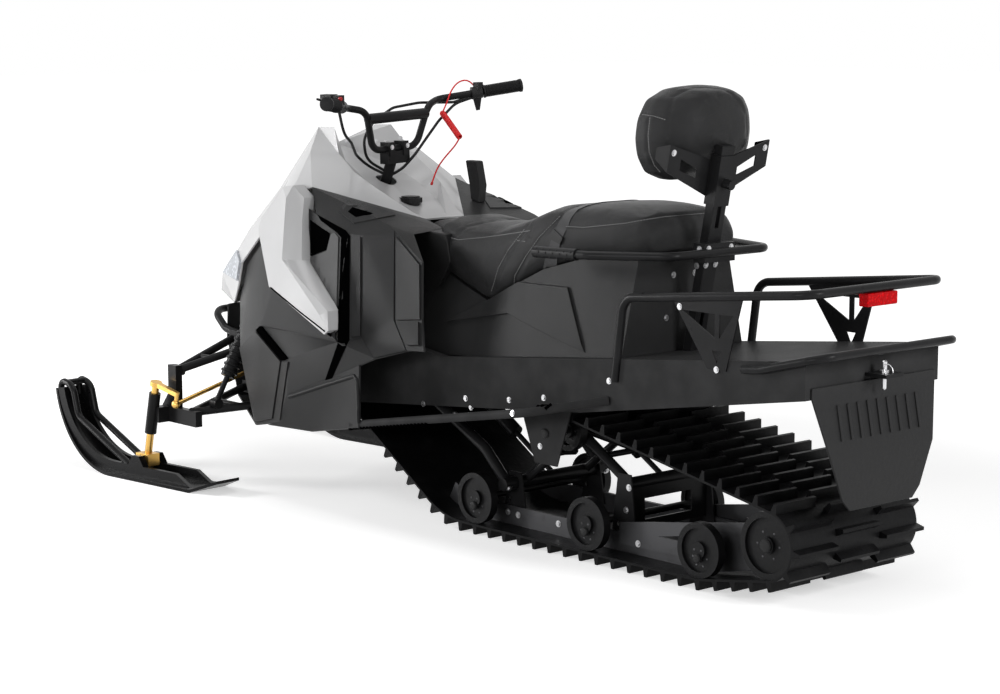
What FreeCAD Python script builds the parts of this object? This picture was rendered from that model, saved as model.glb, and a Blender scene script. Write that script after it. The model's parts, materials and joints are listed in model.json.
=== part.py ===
"""Utility snowmobile: every sub-assembly as its own solid, written to parts/NODE.step.

Lengths are in millimetres. A station is a distance forward of the rear idler axle, +Y is the
machine's left and +Z is up. The finished solids move back so that the whole stands centred on zero.
"""
import FreeCAD
import Part
import math
import os

Vec = FreeCAD.Vector

# Track and its loop
track_width = 500.0
belt_thickness = 6.0
lug_height = 25.0
lug_pitch = 64.0
lug_foot_length = 20.0
lug_crest_length = 9.0
lug_sink = 2.0
lug_column_gap = 18.0
idler_diameter = 178.0
idler_axle_height = 160.0
bogie_diameter = 150.0
bogie_rear_station = 240.0
bogie_middle_station = 669.0
bogie_front_station = 1136.0
sprocket_diameter = 164.0
sprocket_station = 1700.0
sprocket_axle_height = 405.0
carrier_diameter = 120.0
carrier_station = 810.0
carrier_axle_height = 345.0
nose_bend_station = 1180.0
nose_bend_radius = 300.0

# Wheels of the rear suspension
wheel_width = 26.0
wheel_edge_gap = 7.0
wheel_rim_depth = 16.0
wheel_web_thickness = 8.0
wheel_hub_diameter = 46.0
wheel_axle_diameter = 20.0
drive_shaft_diameter = 28.0
carrier_gauge = 340.0
sprocket_gauge = 300.0

# Slide rails and arms of the rear suspension
rail_gauge = 320.0
rail_height = 34.0
rail_thickness = 12.0
slider_height = 22.0
rail_straight_start = 260.0
rail_tail_rise = 30.0
rail_nose_angle = 30.0
rail_running_gap = 0.3
tail_plate_station = 600.0
tail_plate_height = 80.0
tail_plate_thickness = 6.0
tail_window_start = 330.0
tail_window_length = 120.0
tail_window_height = 22.0
idler_boss_diameter = 60.0
front_arm_tube = 32.0
cross_tube = 38.0
front_arm_gauge = 380.0
front_arm_top_station = 1430.0
front_arm_top_height = 390.0
front_arm_foot_station = 1050.0
front_arm_foot_height = 155.0
front_arm_knee_share = 0.25
link_tube = 24.0
link_gauge = 240.0
link_pin_diameter = 16.0
rear_arm_tube = 30.0
rear_arm_gauge = 270.0
rear_arm_top_station = 815.0
rear_arm_foot_station = 600.0
rear_arm_foot_height = 215.0
brace_tube = 18.0
tower_length = 50.0
tower_sheet = 5.0
tower_hole_diameter = 16.0
window_half_width = 95.0
window_height = 60.0
shock_body_diameter = 44.0
shock_rod_diameter = 16.0
shock_body_share = 0.45
hanger_top_length = 200.0
hanger_foot_length = 90.0
hanger_foot_height = 256.0
hanger_bolt_rise = 18.0
hanger_sheet = 5.0

# Tunnel
tunnel_width = 530.0
tunnel_sheet = 3.0
tunnel_rear_station = -140.0
tunnel_front_station = 1640.0
tunnel_rear_height = 655.0
tunnel_step_station = 1250.0
tunnel_step_height = 513.0
tunnel_front_height = 560.0
tunnel_rear_depth = 100.0
tunnel_mid_station = 672.0
tunnel_mid_depth = 150.0
tunnel_front_depth = 230.0
tunnel_lip_depth = 75.0

# Running boards
board_outer_width = 850.0
board_tube = 24.0
board_sheet = 3.0
board_front_station = 1480.0
board_bend_station = 720.0
board_rear_station = 555.0
board_front_height = 300.0
board_bend_height = 433.0
board_rear_height = 470.0
board_bend_radius = 90.0

# Skis
ski_stance = 980.0
ski_width = 150.0
ski_length = 900.0
ski_sole = 10.0
ski_wall_height = 46.0
ski_wall_thickness = 14.0
ski_channel_width = 74.0
ski_tail_share = 0.445
ski_flat_share = 0.57
ski_tip_radius = 310.0
ski_tip_angle = 80.0
ski_tail_rise = 38.0
ski_tail_length = 105.0
ski_tail_width = 92.0
ski_tip_width = 104.0
ski_loop_tube = 22.0
ski_loop_shares = ((0.945, 0.74), (0.95, 0.92), (0.74, 0.87), (0.655, 0.55), (-0.20, 0.135))
ski_pivot_height = 62.0

# Front suspension and steering knuckles
kingpin_station = 2478.0
kingpin_rake = 12.8
kingpin_length = 255.0
spindle_diameter = 24.0
sleeve_diameter = 38.0
sleeve_low_share = 0.36
sleeve_high_share = 0.90
knuckle_rear_station = 2256.0
knuckle_low_height = 190.0
knuckle_arm_height = 240.0
knuckle_inner_half_width = 425.0
knuckle_thickness = 25.0
knuckle_post_station = 2365.0
knuckle_post_length = 45.0
knuckle_top_height = 378.0
saddle_width = 46.0
saddle_length = 64.0
saddle_height = 40.0
pivot_bolt_diameter = 12.0
running_gap = 0.3
moving_gap = 5.0
steer_arm_length = 105.0
steer_arm_thickness = 14.0
steer_arm_width = 22.0
ball_diameter = 28.0
ball_drop = 34.0
tie_rod_diameter = 14.0
tie_rod_length = 430.0
tie_rod_rise = 118.0
arm_tube = 26.0
arm_end_diameter = 32.0
lower_joint_station = 2298.0
lower_joint_height = 232.0
lower_arm_inner_height = 268.0
lower_arm_front_station = 2430.0
lower_arm_rear_station = 2100.0
lower_brace_share = 0.45
upper_joint_station = 2390.0
upper_joint_height = 356.0
upper_arm_inner_height = 435.0
upper_arm_front_station = 2425.0
upper_arm_rear_station = 2290.0
front_shock_station = 2250.0
front_shock_low_half_width = 374.0
front_shock_low_height = 262.0
front_shock_high_half_width = 222.0
front_shock_high_height = 536.0
front_shock_diameter = 46.0
spring_diameter = 56.0
spring_coil = 11.0
front_shock_rod = 18.0
front_shock_rod_share = 0.3
steer_at_rest = 6.0
ski_turn_share = 0.9

# Front frame and engine
bulkhead_half_width = 130.0
bulkhead_rear_station = 1830.0
bulkhead_front_station = 2440.0
bulkhead_low_height = 250.0
bulkhead_high_height = 470.0
bulkhead_flange = 40.0
bulkhead_chamfer = 90.0
frame_sheet = 5.0
engine_base_height = 330.0
engine_length = 290.0
engine_width = 250.0
engine_height = 300.0
engine_rear_station = 1850.0
upper_frame_station = 2150.0
upper_frame_step = 90.0
upper_frame_half_width = 185.0
upper_frame_low_height = 405.0
upper_frame_height = 60.0
shock_tower_length = 70.0
shock_tower_height = 105.0
shock_tower_depth = 20.0
shock_pin_diameter = 14.0
bumper_tube = 25.0
bumper_rail_half_width = 169.5
bumper_nose_half_width = 150.0
bumper_rear_station = 2300.0
bumper_bend_station = 2480.0
bumper_front_station = 2600.0
bumper_low_height = 438.0
bumper_height = 515.0

# Bodywork: its outline points are shares of this box, which starts at body_station
body_station = 1000.0
body_length = 2000.0
body_half_width = 500.0
body_height = 1000.0
panel_wall = 5.0
shroud_depth = 40.0

# Seat and its base: each row is a share of the seat's length, its height twice, and its half width
seat_station = 500.0
seat_length = 940.0
seat_height = 985.0
seat_half_width = 198.0
seat_gap = 0.3
seat_base_half_width = 240.0
seat_base_lap = 12.0
relief_depth = 8.0
seat_section_shares = (
    (0.000, 0.945, 0.885, 0.86), (0.035, 0.992, 0.872, 0.95), (0.110, 0.998, 0.868, 0.99),
    (0.213, 1.000, 0.862, 1.00), (0.430, 0.986, 0.806, 1.00), (0.574, 0.939, 0.746, 0.97),
    (0.700, 0.907, 0.690, 0.92), (0.820, 0.907, 0.726, 0.88), (0.957, 0.919, 0.768, 0.78),
    (1.000, 0.898, 0.806, 0.60), (1.112, 0.896, 0.850, 0.34),
)
seat_ring_shares = ((0.90, 0.00), (1.00, 0.20), (0.98, 0.62), (0.84, 0.90), (0.46, 1.00))
relief_shares = ((0.190, 0.26), (0.300, 0.86), (0.560, 0.84), (0.850, 0.34), (0.560, 0.52))

# Handlebar, its controls and the column
steer_axis_station = 1837.0
steer_axis_height = 979.0
steer_axis_tilt = 67.0
column_diameter = 34.0
column_length = 330.0
riser_length = 118.0
yoke_width = 96.0
yoke_depth = 36.0
yoke_height = 46.0
clamp_gap = 60.0
clamp_width = 22.0
clamp_size = 44.0
bar_diameter = 22.0
bar_low_half_width = 96.0
bar_rise_half_width = 136.0
bar_rise = 126.0
bar_rise_back = 20.0
bar_knee_half_width = 200.0
bar_knee_rise = 140.0
bar_half_width = 426.0
bar_end_rise = 172.0
bar_sweep = 154.0
bar_bend_radius = 45.0
crossbar_diameter = 34.0
crossbar_share = 0.80
grip_length = 125.0
grip_diameter = 34.0
grip_flange_diameter = 42.0
grip_flange_length = 6.0
bar_wall_gap = 4.0
bearing_height = 30.0
bearing_wall = 12.0
well_diameter = 68.0
switch_width = 34.0
switch_diameter = 40.0
switch_top_height = 30.0
perch_reach = 34.0
lever_length = 150.0
lever_width = 12.0
lever_thickness = 7.0
throttle_length = 62.0
reservoir_length = 46.0
reservoir_width = 30.0
reservoir_height = 26.0

# Brake and throttle cables: rows of shares of the bar's half width, ahead of, across and above the clamp
cable_diameter = 9.0
cable_bend_radius = 60.0
cable_shares = (
    ((-0.150, 0.690, 0.335), (-0.153, 0.653, 0.165), (-0.042, 0.477, 0.083), (0.185, 0.216, -0.040),
     (0.200, 0.090, -0.130), (0.085, 0.010, -0.200)),
    ((-0.168, -0.716, 0.345), (-0.075, -0.560, 0.300), (0.060, -0.330, 0.310), (0.085, -0.080, 0.290),
     (0.120, 0.090, 0.200), (0.150, 0.170, 0.080), (0.160, 0.140, -0.080), (0.075, 0.010, -0.180)),
    ((-0.168, -0.700, 0.335), (-0.075, -0.580, 0.290), (-0.080, -0.392, 0.175), (-0.066, -0.275, 0.060),
     (-0.077, -0.134, -0.053), (-0.020, -0.060, -0.150), (0.085, -0.010, -0.215)),
)

# Tether: the cord's route at rest by hand, and the coil between its two parts
tether_diameter = 5.0
tether_coil_diameter = 20.0
tether_high_route = ((1752.0, -303.0, 1270.0), (1762.0, -288.0, 1296.0), (1786.0, -262.0, 1292.0),
                     (1782.0, -226.0, 1264.0), (1775.0, -203.0, 1226.0), (1768.0, -177.0, 1194.0))
tether_low_route = ((1629.0, -130.0, 1123.0), (1640.0, -120.0, 1097.0), (1664.0, -104.0, 1066.0),
                    (1682.0, -89.0, 1036.0), (1690.0, -78.0, 1006.0), (1692.0, -68.0, 978.0))

# Console fittings
cap_diameter = 74.0
cap_height = 30.0
cap_station = 1714.0
cap_seat_height = 912.0
cap_collar_diameter = 58.0
cap_lobes = 8
cap_lobe_diameter = 14.0
cap_lobe_height = 20.0
gear_lever_station = 1628.0
gear_lever_across = -205.0
gear_lever_foot_height = 880.0
gear_lever_stalk = 92.0
gear_lever_length = 168.0
gear_lever_width = 30.0
gear_lever_depth = 54.0
gear_lever_lean = 14.0

# Headlamps
lens_depth = 9.0
lens_size_share = 0.86

# Rear rack, bumper, lamp, hitch and flap
rack_tube = 24.0
rack_width = 560.0
rack_front_station = 530.0
rack_bend_station = 500.0
rack_front_height = 757.0
rack_rear_station = -150.0
rack_rear_height = 822.0
rack_bend_radius = 50.0
rack_leg_lap = 60.0
bracket_sheet = 4.0
bracket_top_start = 315.0
bracket_top_end = 70.0
bracket_foot_start = 190.0
bracket_foot_end = 125.0
bracket_foot_drop = 55.0
bracket_rim = 16.0
lamp_width = 120.0
lamp_height = 34.0
lamp_depth = 30.0
bumper_rear_tube = 22.0
rear_bumper_reach = 60.0
rear_bumper_rise = 15.0
rear_bumper_start = 60.0
rear_bumper_drop = 21.0
flap_sheet = 6.0
flap_top_half_width = 245.0
flap_mid_half_width = 205.0
flap_low_half_width = 155.0
flap_chamfer = 30.0
flap_top_drop = 95.0
flap_mid_height = 408.0
flap_low_height = 262.0
flap_lean = 30.0
flap_seam = 25.0
flap_ribs = 9
flap_rib_width = 8.0
flap_rib_depth = 5.0
flap_rib_length = 90.0
hitch_width = 70.0
hitch_length = 70.0
hitch_sheet = 10.0
hitch_pin_diameter = 14.0

# Backrest and the passenger's grab bar
post_width = 50.0
post_depth = 30.0
post_lean = 11.0
post_foot_station = 500.0
post_foot_height = 570.0
post_length = 600.0
post_slot_width = 14.0
post_slot_length = 90.0
post_slot_share = 0.62
post_wall = 4.0
sleeve_length = 130.0
sleeve_top_share = 0.94
sleeve_cap = 10.0
knob_diameter = 26.0
knob_length = 30.0
arm_low_rise = 20.0
arm_rise = 95.0
arm_end_height = 75.0
arm_fold = 46.0
arm_window_share = 0.42
backrest_half_width = 195.0
pad_half_width = 190.0
pad_height = 255.0
pad_low_height = 1062.0
pad_depth = 186.0
pad_rear_station = 396.0
pad_outline_shares = ((0.00, 1.00), (0.45, 0.985), (0.78, 0.88), (0.95, 0.68), (1.00, 0.45), (0.95, 0.25),
                      (0.80, 0.08), (0.50, 0.0))
pad_section_shares = ((0.00, 0.50, 0.66), (0.10, 0.68, 0.62), (0.28, 0.88, 0.54), (0.55, 1.00, 0.50),
                      (0.80, 0.97, 0.49), (0.95, 0.82, 0.48), (1.00, 0.62, 0.48))
grab_half_width = 285.0
grab_front_station = 830.0
grab_bend_station = 620.0
grab_rear_station = 400.0
grab_rear_half_width = 190.0
grab_height = 868.0
grab_drop = 12.0
grab_tube = 24.0
grab_grip_diameter = 32.0
grab_clamp_half_width = 60.0
grab_clamp_height = 52.0

overrun = 1.0
bend_run_share = 0.45


def at(station, across, height):
    """A point from its station, its place across and its height."""
    return Vec(station, across, height)


def rod(start, end, diameter):
    """A round bar between two points."""
    way = end - start
    return Part.makeCylinder(diameter / 2, way.Length, start, way)


def block(low, high):
    """A box between its lowest and its highest corner."""
    size = high - low
    return Part.makeBox(size.x, size.y, size.z, low)


def plate(points, thickness_way):
    """A flat outline of points, thickened along a vector."""
    return Part.Face(Part.makePolygon(points + points[:1])).extrude(thickness_way)


def side_plate(outline, across, thickness):
    """A plate along the machine from (station, height) pairs, thickened towards +Y."""
    return plate([at(x, across, z) for x, z in outline], Vec(0, thickness, 0))


def joined(shapes):
    """One solid from shapes that overlap or touch."""
    return shapes[0].multiFuse(shapes[1:]).removeSplitter()


def mirrored(shape):
    """The same shape on the machine's other side."""
    return shape.mirror(Vec(0, 0, 0), Vec(0, 1, 0))


def pair(shape):
    """A shape and its mirror image as one compound."""
    return Part.makeCompound([shape, mirrored(shape)])


def biggest(shape):
    """The largest solid of a shape."""
    return max(shape.Solids, key=lambda solid: solid.Volume)


def trimmed(shape, *cutters):
    """A solid less what it meets, one cutter at a time, keeping the largest piece."""
    for cutter in cutters:
        for solid in cutter.Solids:
            shape = biggest(shape.cut(solid))
    return shape


def side_name(side):
    """The word for a side: +1 is left, -1 is right."""
    return "left" if side > 0 else "right"


def pipe(points, diameter, bend_radius):
    """A round tube of straight runs and ring-shaped bends, each bend limited by its shorter run."""
    pieces = []
    last = points[0]
    for before, corner, after in zip(points, points[1:], points[2:]):
        back = before - corner
        ahead = after - corner
        run = bend_run_share * min(back.Length, ahead.Length)
        back.normalize()
        ahead.normalize()
        half_turn = (math.pi - back.getAngle(ahead)) / 2
        radius = min(bend_radius, run / math.tan(half_turn))
        reach = radius * math.tan(half_turn)
        inward = back + ahead
        inward.normalize()
        centre = corner + inward * (radius / math.cos(half_turn))
        start = corner + back * reach
        end = corner + ahead * reach
        disc = Part.Face(Part.Wire(Part.makeCircle(diameter / 2, start, back)))
        axis = (start - centre).cross(end - centre)
        pieces.append(rod(last, start, diameter))
        pieces.append(disc.revolve(centre, axis, math.degrees(2 * half_turn)))
        last = end
    pieces.append(rod(last, points[-1], diameter))
    return joined(pieces)


def body_point(shares):
    """A bodywork point from its shares of the body's length, half width and height."""
    return at(body_station + shares[0] * body_length, shares[1] * body_half_width, shares[2] * body_height)


def shifted(offset):
    """A rule that finds a panel's inner points by one offset."""
    return lambda point: point + offset


def drawn_in(share_point):
    """A rule that finds a panel's inner points by its wall, towards a point inside the body."""
    core = body_point(share_point)
    return lambda point: point + (core - point).normalize() * panel_wall


def faceted(points, facets, inward):
    """A closed panel: flat facets between named points, thickened by a rule for its inner points."""
    outer = [[points[name] for name in facet] for facet in facets]
    faces = []
    edges = {}
    for corners in outer:
        for apex in range(1, len(corners) - 1):
            triangle = [corners[0], corners[apex], corners[apex + 1]]
            inner = [inward(corner) for corner in reversed(triangle)]
            for ring in (triangle, inner):
                faces.append(Part.Face(Part.makePolygon(ring + ring[:1])))
            for start, end in zip(triangle, triangle[1:] + triangle[:1]):
                key = tuple(sorted((tuple(start), tuple(end))))
                edges[key] = edges.get(key, []) + [(start, end)]
    for runs in edges.values():
        if len(runs) == 1:
            start, end = sorted(runs[0], key=lambda point: (point.x, point.z))
            for ring in ([start, inward(end), end], [start, inward(start), inward(end)]):
                faces.append(Part.Face(Part.makePolygon(ring + ring[:1])))
    shell = Part.Shell(faces)
    shell.sewShape()
    solid = Part.Solid(shell).removeSplitter()
    if solid.Volume < 0:
        solid.reverse()
    return Part.makeSolid(solid.Shells[0]) if solid.Volume < 0 else solid


def tangent_loop(circles, offset):
    """Tangent points of a belt around circles of (station, height, radius), in order."""
    runs = []
    for first, second in zip(circles, circles[1:] + circles[:1]):
        along = second[0] - first[0]
        up = second[1] - first[1]
        turn = math.acos((first[2] - second[2]) / math.hypot(along, up))
        normal = math.atan2(up, along) - turn
        points = []
        for station, height, radius in (first, second):
            reach = radius + offset
            points.append(at(station + reach * math.cos(normal), 0, height + reach * math.sin(normal)))
        runs.append((points[0], points[1], normal))
    return runs


def loop_wire(circles, offset, across):
    """The closed line of a belt around circles, as straight runs and arcs."""
    runs = tangent_loop(circles, offset)
    lift = Vec(0, across, 0)
    edges = []
    for index, (start, end, normal) in enumerate(runs):
        edges.append(Part.makeLine(start + lift, end + lift))
        following = runs[(index + 1) % len(runs)]
        circle = circles[(index + 1) % len(circles)]
        sweep = (following[2] - normal) % (2 * math.pi)
        reach = circle[2] + offset
        angle = normal + sweep / 2
        middle = at(circle[0] + reach * math.cos(angle), across, circle[1] + reach * math.sin(angle))
        edges.append(Part.Arc(end + lift, middle, following[0] + lift).toShape())
    return Part.Wire(edges)


belt_height = lug_height + belt_thickness
bogie_axle_height = belt_height + bogie_diameter / 2
bogie_stations = (bogie_rear_station, bogie_middle_station, bogie_front_station)
track_circles = [
    (0.0, idler_axle_height, idler_diameter / 2),
    (bogie_stations[0], bogie_axle_height, bogie_diameter / 2),
    (nose_bend_station, belt_height + nose_bend_radius, nose_bend_radius),
    (sprocket_station, sprocket_axle_height, sprocket_diameter / 2),
    (carrier_station, carrier_axle_height, carrier_diameter / 2),
]


def make_track():
    """The belt and its lug rows in three columns, the middle one half a pitch behind."""
    half = track_width / 2
    outer = loop_wire(track_circles, belt_thickness, -half)
    inner = loop_wire(track_circles, 0, -half)
    belt = Part.Face([outer, inner]).extrude(Vec(0, track_width, 0))
    crest = loop_wire(track_circles, belt_thickness, 0)
    rows = round(crest.Length / lug_pitch)
    pitch = crest.Length / rows
    column_width = (track_width - 2 * lug_column_gap) / 3
    lugs = []
    for column in range(3):
        shift = pitch / 2 if column == 1 else 0
        low = -half + column * (column_width + lug_column_gap)
        steps = [(shift + row * pitch) % crest.Length for row in range(rows)]
        ordered = crest.OrderedEdges
        for step in steps:
            left = step
            for edge in ordered:
                if left <= edge.Length:
                    break
                left -= edge.Length
            place = edge.valueAt(edge.getParameterByLength(left))
            way = edge.tangentAt(edge.getParameterByLength(left))
            out = Vec(way.z, 0, -way.x)
            profile = []
            for along, away in ((-lug_foot_length, -lug_sink), (-lug_crest_length, lug_height),
                                (lug_crest_length, lug_height), (lug_foot_length, -lug_sink)):
                profile.append(place + way * (along / 2) + out * away + Vec(0, low, 0))
            lugs.append(plate(profile, Vec(0, column_width, 0)))
    return joined([belt] + lugs)


def wheel(station, height, across, diameter):
    """A spoked plastic wheel: rim, thin web and hub, turned about its axle."""
    radius = diameter / 2
    half = wheel_width / 2
    hub = wheel_hub_diameter / 2
    web = wheel_web_thickness / 2
    rim = radius - wheel_rim_depth
    profile = [(0, -half), (hub, -half), (hub, -web), (rim, -web), (rim, -half), (radius, -half),
               (radius, half), (rim, half), (rim, web), (hub, web), (hub, half), (0, half)]
    points = [at(station + r, across + y, height) for r, y in profile]
    face = Part.Face(Part.makePolygon(points + points[:1]))
    return face.revolve(at(station, 0, height), Vec(0, 1, 0), 360)


def wheel_set(station, height, diameter, gauge):
    """Two wheels on one axle."""
    half = gauge / 2
    axle = rod(at(station, -half, height), at(station, half, height), wheel_axle_diameter)
    return joined([wheel(station, height, half, diameter), wheel(station, height, -half, diameter), axle])


outer_gauge = track_width - 2 * wheel_edge_gap - wheel_width


def make_rails():
    """Two slide rails with their sliders, bent up at the nose, and the cut tail plates."""
    half = rail_gauge / 2
    low = belt_height + rail_running_gap
    top = low + slider_height + rail_height
    centre = belt_height + nose_bend_radius
    angle = math.radians(rail_nose_angle)

    def nose(radius, share):
        turn = angle * share
        return at(nose_bend_station + radius * math.sin(turn), 0, centre - radius * math.cos(turn))

    outer = nose_bend_radius - rail_running_gap
    inner = centre - top
    tail = bogie_stations[0] / 2
    corners = [at(rail_straight_start, 0, low), nose(outer, 0)]
    edges = [Part.makeLine(corners[0], corners[1]),
             Part.Arc(nose(outer, 0), nose(outer, 0.5), nose(outer, 1)).toShape(),
             Part.makeLine(nose(outer, 1), nose(inner, 1)),
             Part.Arc(nose(inner, 1), nose(inner, 0.5), nose(inner, 0)).toShape(),
             Part.makeLine(nose(inner, 0), at(tail, 0, top)),
             Part.makeLine(at(tail, 0, top), at(tail, 0, low + rail_tail_rise)),
             Part.makeLine(at(tail, 0, low + rail_tail_rise), corners[0])]
    rail = Part.Face(Part.Wire(edges)).extrude(Vec(0, rail_thickness, 0))
    boss = idler_boss_diameter / 2
    tail_outline = [(-boss, idler_axle_height - boss), (-boss, idler_axle_height + boss),
                    (tail, idler_axle_height + boss), (tail_plate_station, top + tail_plate_height / 3),
                    (tail_plate_station, low + slider_height), (tail, low + rail_tail_rise)]
    brace = side_plate(tail_outline, rail_thickness, tail_plate_thickness)
    window_end = tail_window_start + tail_window_length
    window_foot = top + tail_window_height / 2
    window = side_plate([(tail_window_start, window_foot), (window_end, window_foot),
                         (tail_window_start, window_foot + tail_window_height)],
                        rail_thickness - overrun, tail_plate_thickness + 2 * overrun)
    side = joined([rail, brace.cut(window)])
    side.translate(Vec(0, half, 0))
    return pair(side)


def make_front_arm():
    """The forward arm: two bent tubes, their two cross tubes, and two bent links back to the hangers."""
    half = front_arm_gauge / 2
    top = at(front_arm_top_station, half, front_arm_top_height)
    foot = at(front_arm_foot_station, half, front_arm_foot_height)
    knee = foot + (top - foot) * front_arm_knee_share + Vec(0, 0, front_arm_tube)
    leg = pipe([foot, knee, top], front_arm_tube, front_arm_tube * 3)
    reach = half + cross_tube / 2
    foot_tube = rod(at(front_arm_foot_station, -reach, front_arm_foot_height),
                    at(front_arm_foot_station, reach, front_arm_foot_height), cross_tube)
    top_half = tunnel_width / 2 - tunnel_sheet
    top_tube = rod(at(front_arm_top_station, -top_half, front_arm_top_height),
                   at(front_arm_top_station, top_half, front_arm_top_height), cross_tube)
    link_half = link_gauge / 2
    link_foot = at(front_arm_foot_station, link_half, front_arm_foot_height)
    link_top = at(carrier_station + hanger_foot_length / 3, link_half, hanger_foot_height + hanger_bolt_rise)
    bend = at(link_top.x + 3 * link_tube, link_half, link_top.z - link_tube / 2)
    link = pipe([link_foot, bend, link_top], link_tube, link_tube * 2)
    reach = tunnel_width / 2 - tunnel_sheet - hanger_sheet
    pin = rod(link_top - Vec(0, link_tube / 4, 0), at(link_top.x, reach, link_top.z), link_pin_diameter)
    return joined([leg, mirrored(leg), foot_tube, top_tube, link, mirrored(link), pin, mirrored(pin)])


def make_rear_arm():
    """The rear arm: side tubes with a diagonal, and a cross tube at each end."""
    half = rear_arm_gauge / 2
    span = Vec(0, rear_arm_gauge, 0)
    top = at(rear_arm_top_station, half, carrier_axle_height)
    foot = at(rear_arm_foot_station, half, rear_arm_foot_height)
    legs = [rod(foot, top, rear_arm_tube), rod(foot - span, top - span, rear_arm_tube)]
    reach = rail_gauge / 2
    foot_tube = rod(at(rear_arm_foot_station, -reach, rear_arm_foot_height),
                    at(rear_arm_foot_station, reach, rear_arm_foot_height), cross_tube)
    top_tube = rod(top - span, top, cross_tube)
    waist = (foot + top) * 0.5
    braces = [rod(foot - span, top, brace_tube), rod(waist - span, waist, brace_tube)]
    return joined(legs + [foot_tube, top_tube] + braces)


def make_towers():
    """Sheet towers on the rails for the cross tubes, the rear pair joined by a windowed plate."""
    towers = []
    half = rail_gauge / 2
    low = belt_height + rail_running_gap + slider_height
    for station, height in ((front_arm_foot_station, front_arm_foot_height),
                            (rear_arm_foot_station, rear_arm_foot_height)):
        outline = [(station - tower_length, low), (station + tower_length, low),
                   (station + tower_length / 2, height + front_arm_tube),
                   (station - tower_length / 2, height + front_arm_tube)]
        tower = side_plate(outline, half - tower_sheet, tower_sheet)
        hole_place = at(station + tower_length / 2, 0, low + tower_length)
        hole = rod(hole_place, hole_place + Vec(0, rail_gauge, 0), tower_hole_diameter)
        tower = tower.cut(hole)
        towers += [tower, mirrored(tower)]
    plate_low = low + rail_height
    sheet = block(at(rear_arm_foot_station - tower_length / 3, tower_sheet / 2 - half, plate_low),
                  at(rear_arm_foot_station - tower_length / 3 + tower_sheet, half - tower_sheet / 2,
                     rear_arm_foot_height))
    middle = (plate_low + rear_arm_foot_height - cross_tube / 2) / 2
    window = block(at(rear_arm_foot_station - tower_length, -window_half_width, middle - window_height / 2),
                   at(rear_arm_foot_station + tower_length, window_half_width, middle + window_height / 2))
    return towers[:2] + [joined(towers[2:] + [sheet.cut(window)])]


def make_skid_shock(low_point, high_point):
    """A shock absorber: a thick body above a thin rod."""
    middle = low_point + (high_point - low_point) * shock_body_share
    return joined([rod(low_point, middle, shock_rod_diameter), rod(middle, high_point, shock_body_diameter)])


def make_skid_shocks(arms):
    """The front and the rear shock absorber between the skid's cross tubes, on the middle line."""
    front = make_skid_shock(at(front_arm_foot_station, 0, front_arm_foot_height),
                            at(front_arm_top_station, 0, front_arm_top_height))
    rear = make_skid_shock(at(rear_arm_foot_station, 0, rear_arm_foot_height),
                           at(rear_arm_top_station, 0, carrier_axle_height))
    return Part.makeCompound([biggest(shock.cut(arms)) for shock in (front, rear)])


def tunnel_top(station):
    """Height of the tunnel's top at a station."""
    if station <= tunnel_step_station:
        share = (station - tunnel_rear_station) / (tunnel_step_station - tunnel_rear_station)
        return tunnel_rear_height + share * (tunnel_step_height - tunnel_rear_height)
    share = (station - tunnel_step_station) / (tunnel_front_station - tunnel_step_station)
    return tunnel_step_height + share * (tunnel_front_height - tunnel_step_height)


def make_tunnel():
    """The sheet tunnel over the track: two sides, a top and a short rear wall."""
    half = tunnel_width / 2
    top = [(s, tunnel_top(s)) for s in (tunnel_rear_station, tunnel_step_station, tunnel_front_station)]
    low = [(tunnel_front_station, tunnel_front_height - tunnel_front_depth),
           (tunnel_mid_station, tunnel_top(tunnel_mid_station) - tunnel_mid_depth),
           (tunnel_rear_station, tunnel_rear_height - tunnel_rear_depth)]
    outside = side_plate(top + low, -half, tunnel_width)
    inner_top = [(s, h - tunnel_sheet) for s, h in top]
    inner_top[0] = (tunnel_rear_station + tunnel_sheet, inner_top[0][1])
    inner_top[-1] = (tunnel_front_station + overrun, inner_top[-1][1])
    inner_low = [(tunnel_front_station + overrun, 0.0), (tunnel_rear_station + tunnel_sheet, 0.0)]
    inside = side_plate(inner_top + inner_low, tunnel_sheet - half, tunnel_width - 2 * tunnel_sheet)
    return outside, outside.cut(inside)


def make_hangers():
    """Plates under the tunnel's sides that carry the carrier wheels' axle."""
    half = tunnel_width / 2
    foot = hanger_foot_length / 2
    centre = carrier_station
    top = hanger_top_length / 2
    outline = [(centre - foot, hanger_foot_height), (centre + foot, hanger_foot_height),
               (centre + top, tunnel_top(centre + top) - tunnel_mid_depth),
               (centre + top, tunnel_top(centre + top) - tunnel_lip_depth),
               (centre - top, tunnel_top(centre - top) - tunnel_lip_depth),
               (centre - top, tunnel_top(centre - top) - tunnel_mid_depth)]
    hanger = side_plate(outline, half - tunnel_sheet - hanger_sheet, hanger_sheet)
    return pair(hanger)


def make_board(side):
    """A running board: a tread sheet with folded edges and the outer tube that ends on the tunnel."""
    edge = board_outer_width / 2
    inner = tunnel_width / 2
    tube_line = [at(board_front_station, edge, board_front_height),
                 at(board_bend_station, edge, board_bend_height),
                 at(board_rear_station, inner, board_rear_height)]
    tube = pipe(tube_line, board_tube, board_bend_radius)
    tread = plate([at(board_front_station, inner, board_front_height),
                   at(board_front_station, edge, board_front_height),
                   at(board_bend_station, edge, board_bend_height),
                   at(board_bend_station, inner, board_bend_height)], Vec(0, 0, board_sheet))
    board = joined([tube, tread]).cut(block(at(tunnel_rear_station, -inner, 0),
                                            at(tunnel_front_station, inner, body_height)))
    return board if side > 0 else mirrored(board)


def turned(shape, foot, axis, degrees):
    """A copy of a shape turned about an axis through a point."""
    copy = shape.copy()
    copy.rotate(foot, axis, degrees)
    return copy


def kingpin_axis():
    """Direction of a kingpin, leaning back by its rake."""
    rake = math.radians(kingpin_rake)
    return Vec(-math.sin(rake), 0, math.cos(rake))


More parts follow.
